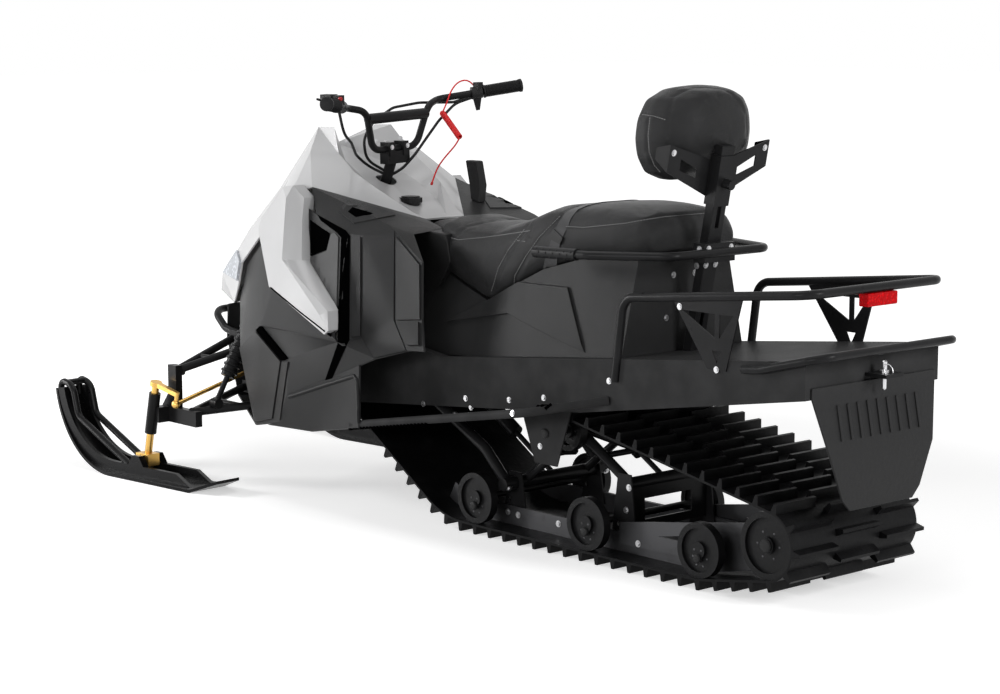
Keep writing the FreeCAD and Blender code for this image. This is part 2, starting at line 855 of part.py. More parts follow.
def kingpin_foot(side):
    """The foot of a kingpin, at the ski's pivot."""
    return at(kingpin_station, side * ski_stance / 2, ski_pivot_height)


def steered(shape, side):
    """A shape turned about its kingpin to where the steering rests."""
    return turned(shape, kingpin_foot(side), kingpin_axis(), steer_at_rest * ski_turn_share)


def laid(shape, side):
    """A shape turned about a plumb line, flat on the ground, to where the steering rests."""
    return turned(shape, kingpin_foot(side), Vec(0, 0, 1), steer_at_rest * ski_turn_share)


def ski_bolt(side):
    """The centre of a ski's pivot bolt."""
    foot = kingpin_foot(side)
    return at(foot.x, foot.y, ski_pivot_height)


def ski_bolt_axis():
    """The direction of a ski's pivot bolt at rest, to the machine's left."""
    turn = math.radians(steer_at_rest * ski_turn_share)
    return Vec(-math.sin(turn), math.cos(turn), 0)


def make_ski(side):
    """A plastic ski: sole with a raised tail, upright walls beside the pivot, and a loop from tip to deck."""
    foot = kingpin_foot(side)
    tail = foot.x - ski_tail_share * ski_length
    bend = foot.x + (ski_flat_share - ski_tail_share) * ski_length
    turn = math.radians(ski_tip_angle)
    width = Vec(0, ski_width, 0)
    back = foot.y - ski_width / 2

    def tip(radius, share):
        angle = turn * share
        return at(bend + radius * math.sin(angle), back, ski_tip_radius - radius * math.cos(angle))

    def profile(thickness, start):
        inner = ski_tip_radius - thickness
        edges = [Part.makeLine(start[-1], tip(ski_tip_radius, 0)),
                 Part.Arc(tip(ski_tip_radius, 0), tip(ski_tip_radius, 0.5), tip(ski_tip_radius, 1)).toShape(),
                 Part.makeLine(tip(ski_tip_radius, 1), tip(inner, 1)),
                 Part.Arc(tip(inner, 1), tip(inner, 0.5), tip(inner, 0)).toShape(),
                 Part.makeLine(tip(inner, 0), start[0])]
        edges += [Part.makeLine(before, after) for before, after in zip(start, start[1:])]
        return Part.Face(Part.Wire(edges)).extrude(width)

    heel = tail + ski_tail_length
    sole = profile(ski_sole, [at(heel, back, ski_sole), at(tail, back, ski_tail_rise + ski_sole),
                              at(tail, back, ski_tail_rise), at(heel, back, 0)])
    half_tail = ski_tail_width / 2
    half_tip = ski_tip_width / 2
    plan = [at(tail, foot.y - half_tail, 0), at(heel, back, 0), at(bend, back, 0),
            at(bend + ski_tip_radius, foot.y - half_tip, 0), at(bend + ski_tip_radius, foot.y + half_tip, 0),
            at(bend, back + ski_width, 0), at(heel, back + ski_width, 0), at(tail, foot.y + half_tail, 0)]
    sole = sole.common(plate(plan, Vec(0, 0, body_height)))
    walls = profile(ski_wall_height, [at(heel + 2 * ski_wall_height, back, ski_wall_height),
                                      at(heel, back, 0)])
    channel = ski_channel_width / 2
    keep = []
    for way in (-1, 1):
        inner = foot.y + way * channel
        outer = inner + way * ski_wall_thickness
        keep.append(block(at(tail - overrun, min(inner, outer), -overrun),
                          at(tail + 2 * ski_length, max(inner, outer), body_height)))
    walls = walls.common(Part.makeCompound(keep))
    loop = []
    place = channel + ski_wall_thickness / 2 - ski_loop_tube / 3
    for way in (-1, 1):
        points = [at(bend + along * ski_tip_radius, foot.y + way * place, up * ski_tip_radius)
                  for along, up in ski_loop_shares]
        loop.append(pipe(points, ski_loop_tube, ski_loop_tube * 2))
    handle = (points[1] + points[2]) * (1 / 2)
    loop.append(rod(handle, handle - Vec(0, 2 * place, 0), ski_loop_tube))
    ski = joined([sole] + walls.Solids + loop)
    bolt = rod(at(foot.x, foot.y - channel, ski_pivot_height), at(foot.x, foot.y + channel, ski_pivot_height),
               pivot_bolt_diameter)
    cheeks = []
    for way in (-1, 1):
        inner = foot.y + way * (saddle_width / 2 + moving_gap)
        outer = foot.y + way * channel
        wide = saddle_length / 2
        cheeks.append(plate([at(foot.x - 2 * wide, inner, ski_sole), at(foot.x + 2 * wide, inner, ski_sole),
                             at(foot.x + wide / 2, inner, ski_pivot_height + wide / 2),
                             at(foot.x - wide / 2, inner, ski_pivot_height + wide / 2)],
                            Vec(0, outer - inner + way * ski_wall_thickness, 0)))
    return laid(joined([ski] + cheeks + [bolt]), side)


def make_spindle(side):
    """The turning part: saddle on the ski's bolt, shaft, and the steering arm at its top."""
    foot = kingpin_foot(side)
    axis = kingpin_axis()
    bolt_centre = at(foot.x, foot.y, ski_pivot_height)
    saddle = block(bolt_centre - Vec(saddle_length / 2, saddle_width / 2, saddle_height / 2),
                   bolt_centre + Vec(saddle_length / 2, saddle_width / 2, saddle_height / 2))
    hole = rod(bolt_centre - Vec(0, ski_width, 0), bolt_centre + Vec(0, ski_width, 0),
               pivot_bolt_diameter + 2 * running_gap)
    shaft = rod(bolt_centre, foot + axis * (kingpin_length + steer_arm_thickness), spindle_diameter)
    head = foot + axis * (kingpin_length + steer_arm_thickness / 2)
    end = head + Vec(-steer_arm_length, 0, -steer_arm_length * math.tan(math.radians(kingpin_rake)))
    wide = Vec(0, steer_arm_width / 2, 0)
    narrow = Vec(0, steer_arm_thickness / 2, 0)
    lift = axis * steer_arm_thickness
    base = head - axis * (steer_arm_thickness / 2)
    tip = end - axis * (steer_arm_thickness / 2)
    arm = plate([base - wide, base + wide, tip + narrow, tip - narrow], lift)
    collar = rod(head - axis * steer_arm_thickness / 2, head + axis * steer_arm_thickness / 2,
                 spindle_diameter + steer_arm_thickness)
    ball = rod(end + axis * (steer_arm_thickness / 2), end - axis * (ball_drop - ball_diameter / 2),
               tie_rod_diameter)
    upper = steered(joined([shaft, arm, collar, ball]), side)
    return joined([laid(saddle, side), upper]).cut(laid(hole, side))


def tie_rod_points(side):
    """The ends of a tie rod at rest: its eye under the steering arm and its end inside the body."""
    foot = kingpin_foot(side)
    head = foot + kingpin_axis() * (kingpin_length + steer_arm_thickness / 2)
    end = head - Vec(steer_arm_length, 0, steer_arm_length * math.tan(math.radians(kingpin_rake)))
    marker = steered(Part.Vertex(end - kingpin_axis() * ball_drop), side).Point
    return marker, marker + Vec(0, -side * tie_rod_length, tie_rod_rise)


def make_tie_rod(side):
    """A tie rod with its eye."""
    eye, inner = tie_rod_points(side)
    ring = Part.makeSphere(ball_diameter / 2, eye)
    return joined([ring, rod(eye, inner, tie_rod_diameter)])


def make_knuckle(side):
    """The fixed carrier of a kingpin: a sleeve, and the cut plate that takes both arms' ends."""
    foot = kingpin_foot(side)
    axis = kingpin_axis()
    low = foot + axis * (kingpin_length * sleeve_low_share)
    high = foot + axis * (kingpin_length * sleeve_high_share)
    sleeve = rod(low, high, sleeve_diameter)
    front = high.x + sleeve_diameter / 2
    post_end = knuckle_post_station + knuckle_post_length
    outline = [(knuckle_rear_station, knuckle_low_height), (front, knuckle_low_height),
               (front, knuckle_arm_height),
               (post_end, knuckle_arm_height + knuckle_post_length), (post_end, knuckle_top_height),
               (knuckle_post_station, knuckle_top_height), (knuckle_post_station, knuckle_arm_height),
               (knuckle_rear_station, knuckle_arm_height)]
    web = side_plate(outline, knuckle_inner_half_width, knuckle_thickness)
    if side < 0:
        web = mirrored(web)
    inner = side * (knuckle_inner_half_width + knuckle_thickness / 2)
    bridge = block(at(front - sleeve_diameter, min(inner, foot.y), knuckle_low_height),
                   at(front, max(inner, foot.y), knuckle_arm_height))
    bore = rod(foot, foot + axis * (2 * kingpin_length), spindle_diameter + 2 * running_gap)
    return joined([sleeve, web, bridge]).cut(bore)


def make_front_arms(side):
    """One side's knuckle with the upper and lower arms, each a triangle of tubes to the front frame."""
    outer_half = knuckle_inner_half_width + knuckle_thickness / 2
    pieces = [make_knuckle(side)]
    for station, height, inner_half, inner_height, stations in (
            (lower_joint_station, lower_joint_height, bulkhead_half_width + frame_sheet,
             lower_arm_inner_height,
             (lower_arm_front_station, lower_arm_rear_station)),
            (upper_joint_station, upper_joint_height, upper_frame_half_width, upper_arm_inner_height,
             (upper_arm_front_station, upper_arm_rear_station))):
        outer = at(station, side * outer_half, height)
        ends = [at(place, side * inner_half, inner_height) for place in stations]
        legs = [rod(outer, end + (end - outer) * bend_run_share, arm_tube) for end in ends]
        inside = block(at(0, -inner_half, 0), at(bumper_front_station, inner_half, body_height))
        legs = [leg.cut(inside) for leg in legs]
        waist = [outer + (end - outer) * lower_brace_share for end in ends]
        knob = rod(outer - Vec(0, side * arm_end_diameter, 0), outer, arm_end_diameter)
        pieces += legs + [rod(waist[0], waist[1], arm_tube * crossbar_share), knob]
    return joined(pieces)


def make_front_shock(side):
    """A front shock absorber: rod, body, spring coils as rings, and the pin to the frame's tower."""
    low = at(front_shock_station, side * front_shock_low_half_width, front_shock_low_height)
    high = at(front_shock_station, side * front_shock_high_half_width, front_shock_high_height)
    way = high - low
    length = way.Length
    way.normalize()
    across = Vec(1, 0, 0)
    inner = front_shock_diameter / 2
    outer = spring_diameter / 2
    start = length * front_shock_rod_share
    rings = int((length - start - spring_coil) / (2 * spring_coil))
    profile = [(0, 0), (front_shock_rod / 2, 0), (front_shock_rod / 2, start), (inner, start)]
    for ring in range(rings):
        foot = start + (2 * ring + 1) * spring_coil
        profile += [(inner, foot), (outer, foot + spring_coil / 4), (outer, foot + 3 * spring_coil / 4),
                    (inner, foot + spring_coil)]
    profile += [(inner, length), (0, length)]
    points = [low + across * radius + way * along for radius, along in profile]
    body = Part.Face(Part.makePolygon(points + points[:1])).revolve(low, way, 360)
    eye = rod(high - Vec(0, side * spring_diameter / 4, 0),
              at(high.x, side * upper_frame_half_width, high.z), shock_pin_diameter)
    foot_eye = rod(low - across * arm_end_diameter / 2, low + across * arm_end_diameter / 2, arm_end_diameter)
    return joined([body, eye, foot_eye])


side_panel_shares = {
    "front low": (0.587, 0.66, 0.450), "apex": (0.486, 0.79, 0.543), "ridge": (0.384, 0.88, 0.469),
    "ridge low": (0.390, 0.88, 0.355), "toe rear": (0.4295, 0.82, 0.256), "toe": (0.514, 0.76, 0.222),
    "shoulder": (0.455, 0.77, 0.671), "rear": (0.268, 0.90, 0.561), "rear edge": (0.2606, 0.89, 0.545),
    "rear low": (0.277, 0.86, 0.440), "brow": (0.519, 0.67, 0.784), "front": (0.596, 0.58, 0.592),
    "cheek top": (0.383, 0.66, 0.900), "cheek front": (0.457, 0.62, 0.950),
    "cheek rear": (0.298, 0.68, 0.854), "inlet top": (0.524, 0.61, 0.824),
    "inlet middle": (0.620, 0.50, 0.704), "inlet low": (0.650, 0.45, 0.627),
    "inlet base": (0.690, 0.36, 0.600),
}
side_panel_facets = (
    ("front low", "apex", "toe"),
    ("apex", "ridge", "toe rear", "toe"),
    ("ridge", "ridge low", "toe rear"),
    ("ridge", "rear edge", "rear low", "ridge low"),
    ("apex", "rear", "rear edge", "ridge"),
    ("apex", "shoulder", "rear"),
    ("front low", "front", "shoulder", "apex"),
    ("front", "brow", "shoulder"),
    ("brow", "cheek front", "cheek top", "shoulder"),
    ("shoulder", "cheek top", "cheek rear", "rear"),
    ("brow", "front", "inlet middle", "inlet top"),
    ("front", "front low", "inlet low", "inlet middle"),
    ("front low", "inlet base", "inlet low"),
)
hood_shares = {
    "top": (0.545, 0.0, 1.092), "upper": (0.602, 0.0, 0.962), "middle": (0.688, 0.0, 0.822),
    "lip": (0.722, 0.0, 0.752), "muzzle": (0.802, 0.0, 0.640), "chin": (0.806, 0.0, 0.585),
    "base": (0.775, 0.0, 0.548),
    "horn": (0.515, 0.23, 1.150), "shelf": (0.587, 0.33, 0.948), "crest": (0.667, 0.34, 0.808),
    "lamp top": (0.700, 0.34, 0.738), "lamp tip": (0.768, 0.28, 0.638), "chin side": (0.776, 0.27, 0.584),
    "base side": (0.735, 0.28, 0.548),
    "seam": (0.472, 0.43, 1.078), "seam low": (0.419, 0.58, 0.979), "cheek": (0.457, 0.63, 0.955),
    "band top": (0.509, 0.65, 0.872), "band upper": (0.529, 0.63, 0.831), "band middle": (0.624, 0.53, 0.711),
    "band low": (0.652, 0.48, 0.634), "band base": (0.695, 0.39, 0.567),
}
hood_core_share = (0.50, 0.0, 0.62)
hood_facets = (
    ("top", "upper", "shelf", "horn"),
    ("upper", "middle", "crest", "shelf"),
    ("middle", "lip", "lamp top", "crest"),
    ("lip", "muzzle", "lamp tip", "lamp top"),
    ("muzzle", "chin", "chin side", "lamp tip"),
    ("chin", "base", "base side", "chin side"),
    ("horn", "shelf", "band top", "seam"),
    ("seam", "band top", "cheek", "seam low"),
    ("shelf", "crest", "band upper", "band top"),
    ("crest", "lamp top", "band middle", "band upper"),
    ("lamp top", "lamp tip", "band low", "band middle"),
    ("lamp tip", "chin side", "base side", "band base", "band low"),
)
pod_shares = {
    "front": (0.545, 0.0, 1.092), "horn": (0.515, 0.23, 1.150), "horn rear": (0.475, 0.23, 1.153),
    "seam": (0.472, 0.43, 1.078), "seam low": (0.419, 0.58, 0.979), "corner": (0.275, 0.156, 0.887),
    "tail": (0.277, 0.0, 0.887),
    "rim upper": (0.445, 0.29, 1.073), "rim": (0.4035, 0.30, 1.020), "rim low": (0.365, 0.27, 0.979),
    "rim rear": (0.299, 0.18, 0.906),
    "well front": (0.470, 0.0, 1.030), "well side": (0.462, 0.17, 1.030), "well rear": (0.404, 0.19, 0.985),
    "well back": (0.4075, 0.0, 0.978), "bowl side": (0.352, 0.20, 0.928), "bowl": (0.352, 0.0, 0.918),
    "bowl rear": (0.300, 0.10, 0.888), "bowl back": (0.300, 0.0, 0.888),
}
pod_facets = (
    ("front", "well front", "well side", "horn rear", "horn"),
    ("horn", "horn rear", "rim upper", "seam"),
    ("seam", "rim upper", "rim", "seam low"),
    ("seam low", "rim", "rim low"),
    ("seam low", "rim low", "rim rear", "corner"),
    ("corner", "rim rear", "bowl rear", "bowl back", "tail"),
    ("horn rear", "well side", "rim upper"),
    ("rim upper", "well side", "well rear", "rim"),
    ("rim", "well rear", "rim low"),
    ("rim low", "well rear", "bowl side"),
    ("rim low", "bowl side", "bowl rear", "rim rear"),
    ("well front", "well back", "well rear", "well side"),
    ("well back", "bowl", "bowl side", "well rear"),
    ("bowl", "bowl back", "bowl rear", "bowl side"),
)
shroud_shares = {
    "top front": (0.461, 0.68, 0.977), "top": (0.4345, 0.68, 0.984), "rear top": (0.410, 0.67, 0.948),
    "rear upper": (0.402, 0.71, 0.886), "rear": (0.375, 0.80, 0.766), "tail top": (0.268, 0.935, 0.637),
    "tail": (0.264, 0.945, 0.581), "tail low": (0.277, 0.935, 0.566), "elbow": (0.449, 0.83, 0.674),
    "front": (0.516, 0.71, 0.835), "front top": (0.513, 0.70, 0.871), "crease top": (0.431, 0.745, 0.946),
    "crease": (0.398, 0.88, 0.769), "crease tail": (0.278, 0.965, 0.625),
}
shroud_facets = (
    ("top front", "top", "crease top"),
    ("top front", "crease top", "crease", "front", "front top"),
    ("front", "crease", "elbow"),
    ("top", "rear top", "rear upper", "rear", "crease", "crease top"),
    ("elbow", "crease", "crease tail", "tail low"),
    ("crease", "rear", "tail top", "crease tail"),
    ("crease tail", "tail top", "tail", "tail low"),
)
knee_shares = {
    "seam": (0.419, 0.58, 0.979), "pod corner": (0.275, 0.156, 0.887), "seat corner": (0.222, 0.20, 0.868),
    "ridge front": (0.383, 0.66, 0.900), "ridge mid": (0.298, 0.68, 0.854), "ridge": (0.269, 0.67, 0.854),
    "ridge rear": (0.230, 0.58, 0.886), "shoulder": (0.197, 0.52, 0.864),
    "front low": (0.2606, 0.89, 0.545), "front foot": (0.277, 0.86, 0.440),
    "crease low": (0.239, 0.77, 0.555), "crease foot": (0.1814, 0.86, 0.512),
    "hollow top": (0.203, 0.60, 0.861), "hollow low": (0.174, 0.72, 0.617),
    "hollow foot": (0.1222, 0.80, 0.545), "rear top": (0.139, 0.64, 0.794), "rear low": (0.122, 0.70, 0.632),
    "rear foot": (0.088, 0.80, 0.550),
}
knee_facets = (
    ("seam", "ridge front", "ridge mid", "ridge rear", "seat corner", "pod corner"),
    ("ridge mid", "ridge", "ridge rear"),
    ("ridge rear", "hollow top", "shoulder", "seat corner"),
    ("ridge mid", "front low", "crease low", "ridge"),
    ("front low", "front foot", "crease foot", "crease low"),
    ("ridge", "crease low", "hollow low", "hollow top", "ridge rear"),
    ("crease low", "crease foot", "hollow foot", "hollow low"),
    ("hollow top", "hollow low", "rear low", "rear top"),
    ("hollow top", "rear top", "shoulder"),
    ("hollow low", "hollow foot", "rear foot", "rear low"),
)
toe_shares = {
    "front": (0.4714, 0.79, 0.236), "front top": (0.4295, 0.82, 0.256), "upper": (0.390, 0.88, 0.355),
    "top": (0.277, 0.86, 0.440), "rear top": (0.219, 0.86, 0.4836), "rear low": (0.2154, 0.88, 0.300),
    "low": (0.3443, 0.84, 0.252),
}
toe_facets = (("front top", "upper", "low", "front"), ("low", "upper", "top", "rear top", "rear low"))
pan_shares = {
    "rear": (0.4295, 0.0, 0.256), "rear side": (0.4295, 0.82, 0.256), "toe": (0.514, 0.76, 0.222),
    "toe middle": (0.514, 0.0, 0.222), "front side": (0.725, 0.29, 0.235), "front": (0.725, 0.0, 0.235),
    "rise side": (0.755, 0.29, 0.430), "rise": (0.765, 0.0, 0.430), "lip side": (0.755, 0.28, 0.540),
    "lip": (0.775, 0.0, 0.540),
}
pan_core_share = (0.52, 0.0, 0.70)
pan_facets = (
    ("rear", "rear side", "toe", "toe middle"),
    ("toe middle", "toe", "front side", "front"),
    ("front", "front side", "rise side", "rise"),
    ("rise", "rise side", "lip side", "lip"),
)


def mirrored_shares(shares):
    """Points of a half, and the same points on the other side with a word before their names."""
    points = {name: body_point(share) for name, share in shares.items()}
    for name, share in shares.items():
        if share[1] > 0:
            points["right " + name] = body_point((share[0], -share[1], share[2]))
        else:
            points["right " + name] = points[name]
    return points


def whole_panel(shares, facets, inward):
    """A panel that runs across the machine, from its left half."""
    points = mirrored_shares(shares)
    right = tuple(tuple("right " + name for name in facet[:1] + facet[:0:-1]) for facet in facets)
    return faceted(points, tuple(facets) + right, inward)


def side_panel(shares, facets, side, inward):
    """A panel of one side."""
    points = {name: body_point(share) for name, share in shares.items()}
    panel = faceted(points, facets, inward)
    return panel if side > 0 else mirrored(panel)


def seat_rings(low_lift, half_limit):
    """Rings of points along the seat: its section shares, lifted at the foot and held to a half width."""
    rings = []
    for along, high_share, low_share, wide_share in seat_section_shares:
        station = seat_station + along * seat_length
        low = low_share * seat_height + low_lift
        high = high_share * seat_height
        half = min(wide_share * seat_half_width, half_limit)
        left = [at(station, share * half, low + rise * (high - low)) for share, rise in seat_ring_shares]
        rings.append(left + [at(point.x, -point.y, point.z) for point in reversed(left)])
    return rings


def lofted(rings):
    """A closed body of flat strips through rings of points."""
    wires = [Part.makePolygon(ring + ring[:1]) for ring in rings]
    return Part.makeLoft(wires, True, True)


def make_seat():
    """The long padded seat as a body through its sections."""
    return lofted(seat_rings(0, seat_half_width))


def make_seat_base():
    """The moulded base between the tunnel and the cushion, with a raised relief on each side."""
    rings = []
    for along, high_share, low_share, wide_share in seat_section_shares[1:-1]:
        station = seat_station + along * seat_length
        top = low_share * seat_height - seat_gap
        half = wide_share * seat_half_width - seat_base_lap
        foot = tunnel_top(station)
        rings.append([at(station, seat_base_half_width, foot), at(station, half, top),
                      at(station, -half, top), at(station, -seat_base_half_width, foot)])
    base = lofted(rings)
    foot = tunnel_step_height
    rise = seat_section_shares[4][2] * seat_height - foot
    outline = [(seat_station + along * seat_length, foot + up * rise) for along, up in relief_shares]
    relief = side_plate(outline, -seat_base_half_width, 2 * seat_base_half_width)
    wider = [[point + Vec(0, math.copysign(relief_depth, point.y), 0) for point in ring] for ring in rings]
    return joined([base, lofted(wider).common(relief)])


def post_up():
    """The direction of the backrest's post."""
    lean = math.radians(post_lean)
    return Vec(-math.sin(lean), 0, math.cos(lean))


def post_forward():
    """The direction square to the post, forward."""
    lean = math.radians(post_lean)
    return Vec(math.cos(lean), 0, math.sin(lean))


def post_box(depth, width, start, length):
    """A box round the post's middle line."""
    corner = start - post_forward() * (depth / 2) - Vec(0, width / 2, 0)
    outline = [corner, corner + post_forward() * depth, corner + post_forward() * depth + Vec(0, width, 0),
               corner + Vec(0, width, 0)]
    return plate(outline, post_up() * length)


def make_post():
    """The backrest's box post, leaning back, with its slots and its foot on the tunnel."""
    foot = at(post_foot_station, 0, post_foot_height)
    post = post_box(post_depth, post_width, foot, post_length)
    slot_foot = foot + post_up() * (post_length * post_slot_share)
    slot = post_box(2 * post_depth, post_slot_width, slot_foot, post_slot_length)
    low_slot_foot = foot + post_up() * post_slot_length
    low_slot = post_box(2 * post_depth, post_slot_width, low_slot_foot, post_slot_length)
    return post.cut(slot).cut(low_slot)


def sleeve_low():
    """The foot of the sliding sleeve on the post's middle line."""
    foot = at(post_foot_station, 0, post_foot_height)
    return foot + post_up() * (post_length * sleeve_top_share - sleeve_length)


def steer_up():
    """The direction of the steering axis, leaning back."""
    tilt = math.radians(steer_axis_tilt)
    return Vec(-math.cos(tilt), 0, math.sin(tilt))


def steer_base():
    """The point where the steering axis passes the console."""
    return at(steer_axis_station, 0, steer_axis_height)


def bar_points():
    """The bar's middle line from its clamp to its left end."""
    clamp = steer_base() + steer_up() * riser_length
    return [clamp, clamp + Vec(0, bar_low_half_width, 0),
            clamp + Vec(-bar_rise_back, bar_rise_half_width, bar_rise),
            clamp + Vec(0, bar_knee_half_width, bar_knee_rise),
            clamp + Vec(-bar_sweep, bar_half_width, bar_end_rise)]


def make_handlebar():
    """The bent bar with its crossbar, clamps, yoke and column, before it is turned to its rest."""
    up = steer_up()
    points = bar_points()
    clamp = points[0]
    low = steer_base() - up * (column_length - riser_length)
    column = rod(low, clamp - up * (yoke_height / 2), column_diameter)
    bar = pipe(points, bar_diameter, bar_bend_radius)
    level = points[1] + (points[2] - points[1]) * crossbar_share
    cross = rod(at(level.x, -level.y, level.z), level, crossbar_diameter)
    half = Vec(yoke_depth / 2, yoke_width / 2, 0)
    yoke = block(clamp - half - Vec(0, 0, yoke_height), clamp + half - Vec(0, 0, bar_diameter / 3))
    pieces = [column, bar, mirrored(bar), cross, yoke]
    for way in (-1, 1):
        centre = clamp + Vec(0, way * clamp_gap / 2, 0)
        size = Vec(clamp_size / 2, clamp_width / 2, clamp_size / 2)
        pieces.append(block(centre - size, centre + size))
    return joined(pieces)


def steering_well():
    """The round space in the console round the steering column."""
    base = steer_base()
    return rod(base - steer_up() * column_length, base + steer_up() * riser_length, well_diameter)


def steering_turn(shape):
    """A handlebar piece turned to where the steering rests."""
    return turned(shape, steer_base(), steer_up(), steer_at_rest)


def bar_end_way():
    """The direction of the bar's left end run."""
    points = bar_points()
    way = points[4] - points[3]
    way.normalize()
    return way


def make_grips():
    """Both grips with their flanges, sleeved over the bar's ends."""
    end = bar_points()[4]
    way = bar_end_way()
    cap = end + way * bar_wall_gap
    start = end - way * grip_length
    grip = joined([rod(start, cap, grip_diameter),
                   rod(start, start + way * grip_flange_length, grip_flange_diameter),
                   rod(cap - way * grip_flange_length, cap, grip_flange_diameter)])
    bore = rod(start - way * overrun, end + way * running_gap, bar_diameter + 2 * running_gap)
    return pair(grip.cut(bore))


def make_controls(bar):
    """The left switch block, the brake perch with its lever and tank, and the right throttle block."""
    end = bar_points()[4]
    way = bar_end_way()
    up = steer_up()
    ahead = way.cross(up)
    ahead = ahead * (1 if ahead.x > 0 else -1)
    ahead.normalize()
    inner = end - way * (grip_length + moving_gap)
    collar = rod(inner - way * switch_width, inner, switch_diameter)
    perch_end = inner - way * (switch_width + moving_gap)
    perch = rod(perch_end - way * switch_width, perch_end, switch_diameter)
    reach = perch_end - way * (switch_width / 2) + ahead * (switch_diameter / 2 + perch_reach / 2)
    tank_low = reach - Vec(reservoir_length / 2, reservoir_width / 2, 0)
    tank = block(tank_low, tank_low + Vec(reservoir_length, reservoir_width, reservoir_height))
    neck = rod(perch_end - way * (switch_width / 2), reach, switch_width * crossbar_share)
    tip = reach + way * lever_length
    lever = plate([reach - ahead * lever_width, reach + ahead * lever_width, tip + ahead * (lever_width / 2),
                   tip - ahead * (lever_width / 2)], up * lever_thickness)
    head_centre = inner - way * (switch_width / 2) + up * (switch_diameter / 2)
    size = Vec(switch_width / 3, switch_width / 3, switch_top_height / 2)
    left = joined([perch, neck, tank, lever])
    head = joined([collar, block(head_centre - size, head_centre + size)])
    thumb_tip = inner - way * switch_width - up * throttle_length + way * (throttle_length / 2)
    thumb = plate([inner - way * switch_width, inner, thumb_tip + way * (lever_width), thumb_tip],
                  ahead * lever_thickness)
    thumb.translate(ahead * (lever_width - switch_diameter / 2))
    right = mirrored(joined([collar, block(head_centre - size, head_centre + size), thumb]))
    return Part.makeCompound([biggest(piece.cut(bar)) for piece in (left.cut(head), head, right)])


def make_cables():
    """The black cables from the bar's controls to the steering column, each a bent tube."""
    clamp = bar_points()[0]
    cables = []
    for shares in cable_shares:
        points = [clamp + Vec(ahead, across, above) * bar_half_width for ahead, across, above in shares]
        cables.append(pipe(points, cable_diameter, cable_bend_radius))
    return cables


def cord_tube(route):
    """A cord as straight runs and tangent bends, whose radii follow their shorter runs and are printed."""
    points = [at(*place) for place in route]
    for before, corner, after in zip(points, points[1:], points[2:]):
        turn = (corner - before).getAngle(after - corner)
        run = min((corner - before).Length, (after - corner).Length)
        print("tether bend radius", round(bend_run_share * run / math.tan(turn / 2), 1))
    return pipe(points, tether_diameter, body_length)


def make_tether(controls):
    """The tether's two cord parts and the coil between them, all hanging from the right switch block."""
    coil = rod(at(*tether_high_route[-1]), at(*tether_low_route[0]), tether_coil_diameter)
    cord = [trimmed(cord_tube(tether_high_route), controls, coil), trimmed(cord_tube(tether_low_route), coil)]
    return Part.makeCompound(cord), coil


def make_bearing():
    """The ring that the steering column turns in, with its foot on the engine."""
    up = steer_up()
    low = steer_base() - up * (column_length - riser_length)
    outer = column_diameter + 2 * bearing_wall
    ring = rod(low - up * running_gap - up * bearing_wall, low + up * bearing_height, outer)
    bore = rod(low - up * running_gap, low + up * column_length, column_diameter + 2 * running_gap)
    foot_top = low - up * bearing_wall
    foot = block(at(foot_top.x - outer / 2, -outer / 2, engine_base_height + engine_height),
                 at(foot_top.x + outer / 2, outer / 2, foot_top.z))
    return joined([ring, foot]).cut(bore)


def make_bulkhead():
    """The front frame: two side walls that step down to the front, a floor and the engine's shelf."""
    half = bulkhead_half_width
    step = upper_frame_station + upper_frame_step
    floor_start = bulkhead_rear_station + bulkhead_chamfer
    outline = [(bulkhead_rear_station, bulkhead_low_height + bulkhead_flange),
               (floor_start, bulkhead_low_height),
               (bulkhead_front_station, bulkhead_low_height),
               (bulkhead_front_station, bulkhead_low_height + bulkhead_flange),
               (step, bulkhead_low_height + bulkhead_flange), (step, upper_frame_low_height),
               (upper_frame_station, upper_frame_low_height), (upper_frame_station, bulkhead_high_height),
               (bulkhead_rear_station, bulkhead_high_height)]
    wall = side_plate(outline, half, frame_sheet)
    floor = block(at(floor_start, -half, bulkhead_low_height),
                  at(bulkhead_front_station, half, bulkhead_low_height + frame_sheet))
    shelf = block(at(bulkhead_rear_station, -half, engine_base_height - frame_sheet),
                  at(upper_frame_station, half, engine_base_height))
    return joined([wall, mirrored(wall), floor, shelf])


def make_upper_frame():
    """The tray on the bulkhead's walls that carries the upper arms, with a tower for each shock absorber."""
    half = upper_frame_half_width
    low = upper_frame_low_height
    high = low + upper_frame_height
    tray = block(at(upper_frame_station, -half, low), at(bulkhead_front_station, half, high))
    hollow = block(at(upper_frame_station + frame_sheet, frame_sheet - half, low + frame_sheet),
                   at(bulkhead_front_station + overrun, half - frame_sheet, high + overrun))
    middle = front_shock_station
    tower = block(at(middle - shock_tower_length / 2, half - shock_tower_depth, low),
                  at(middle + shock_tower_length / 2, half, high + shock_tower_height))
    return joined([tray.cut(hollow), tower, mirrored(tower)])


def make_bumper(frame):
    """The front bumper: a bar on two rails that lie inside the upper frame's walls."""
    line = [at(bumper_rear_station, bumper_rail_half_width, bumper_low_height),
            at(bumper_bend_station, bumper_rail_half_width, bumper_low_height + bumper_tube),
            at(bumper_front_station - bumper_tube, bumper_nose_half_width, bumper_height),
            at(bumper_front_station, 0, bumper_height)]
    rail = pipe(line, bumper_tube, bumper_tube * 3)
    return biggest(joined([rail, mirrored(rail)]).cut(frame))


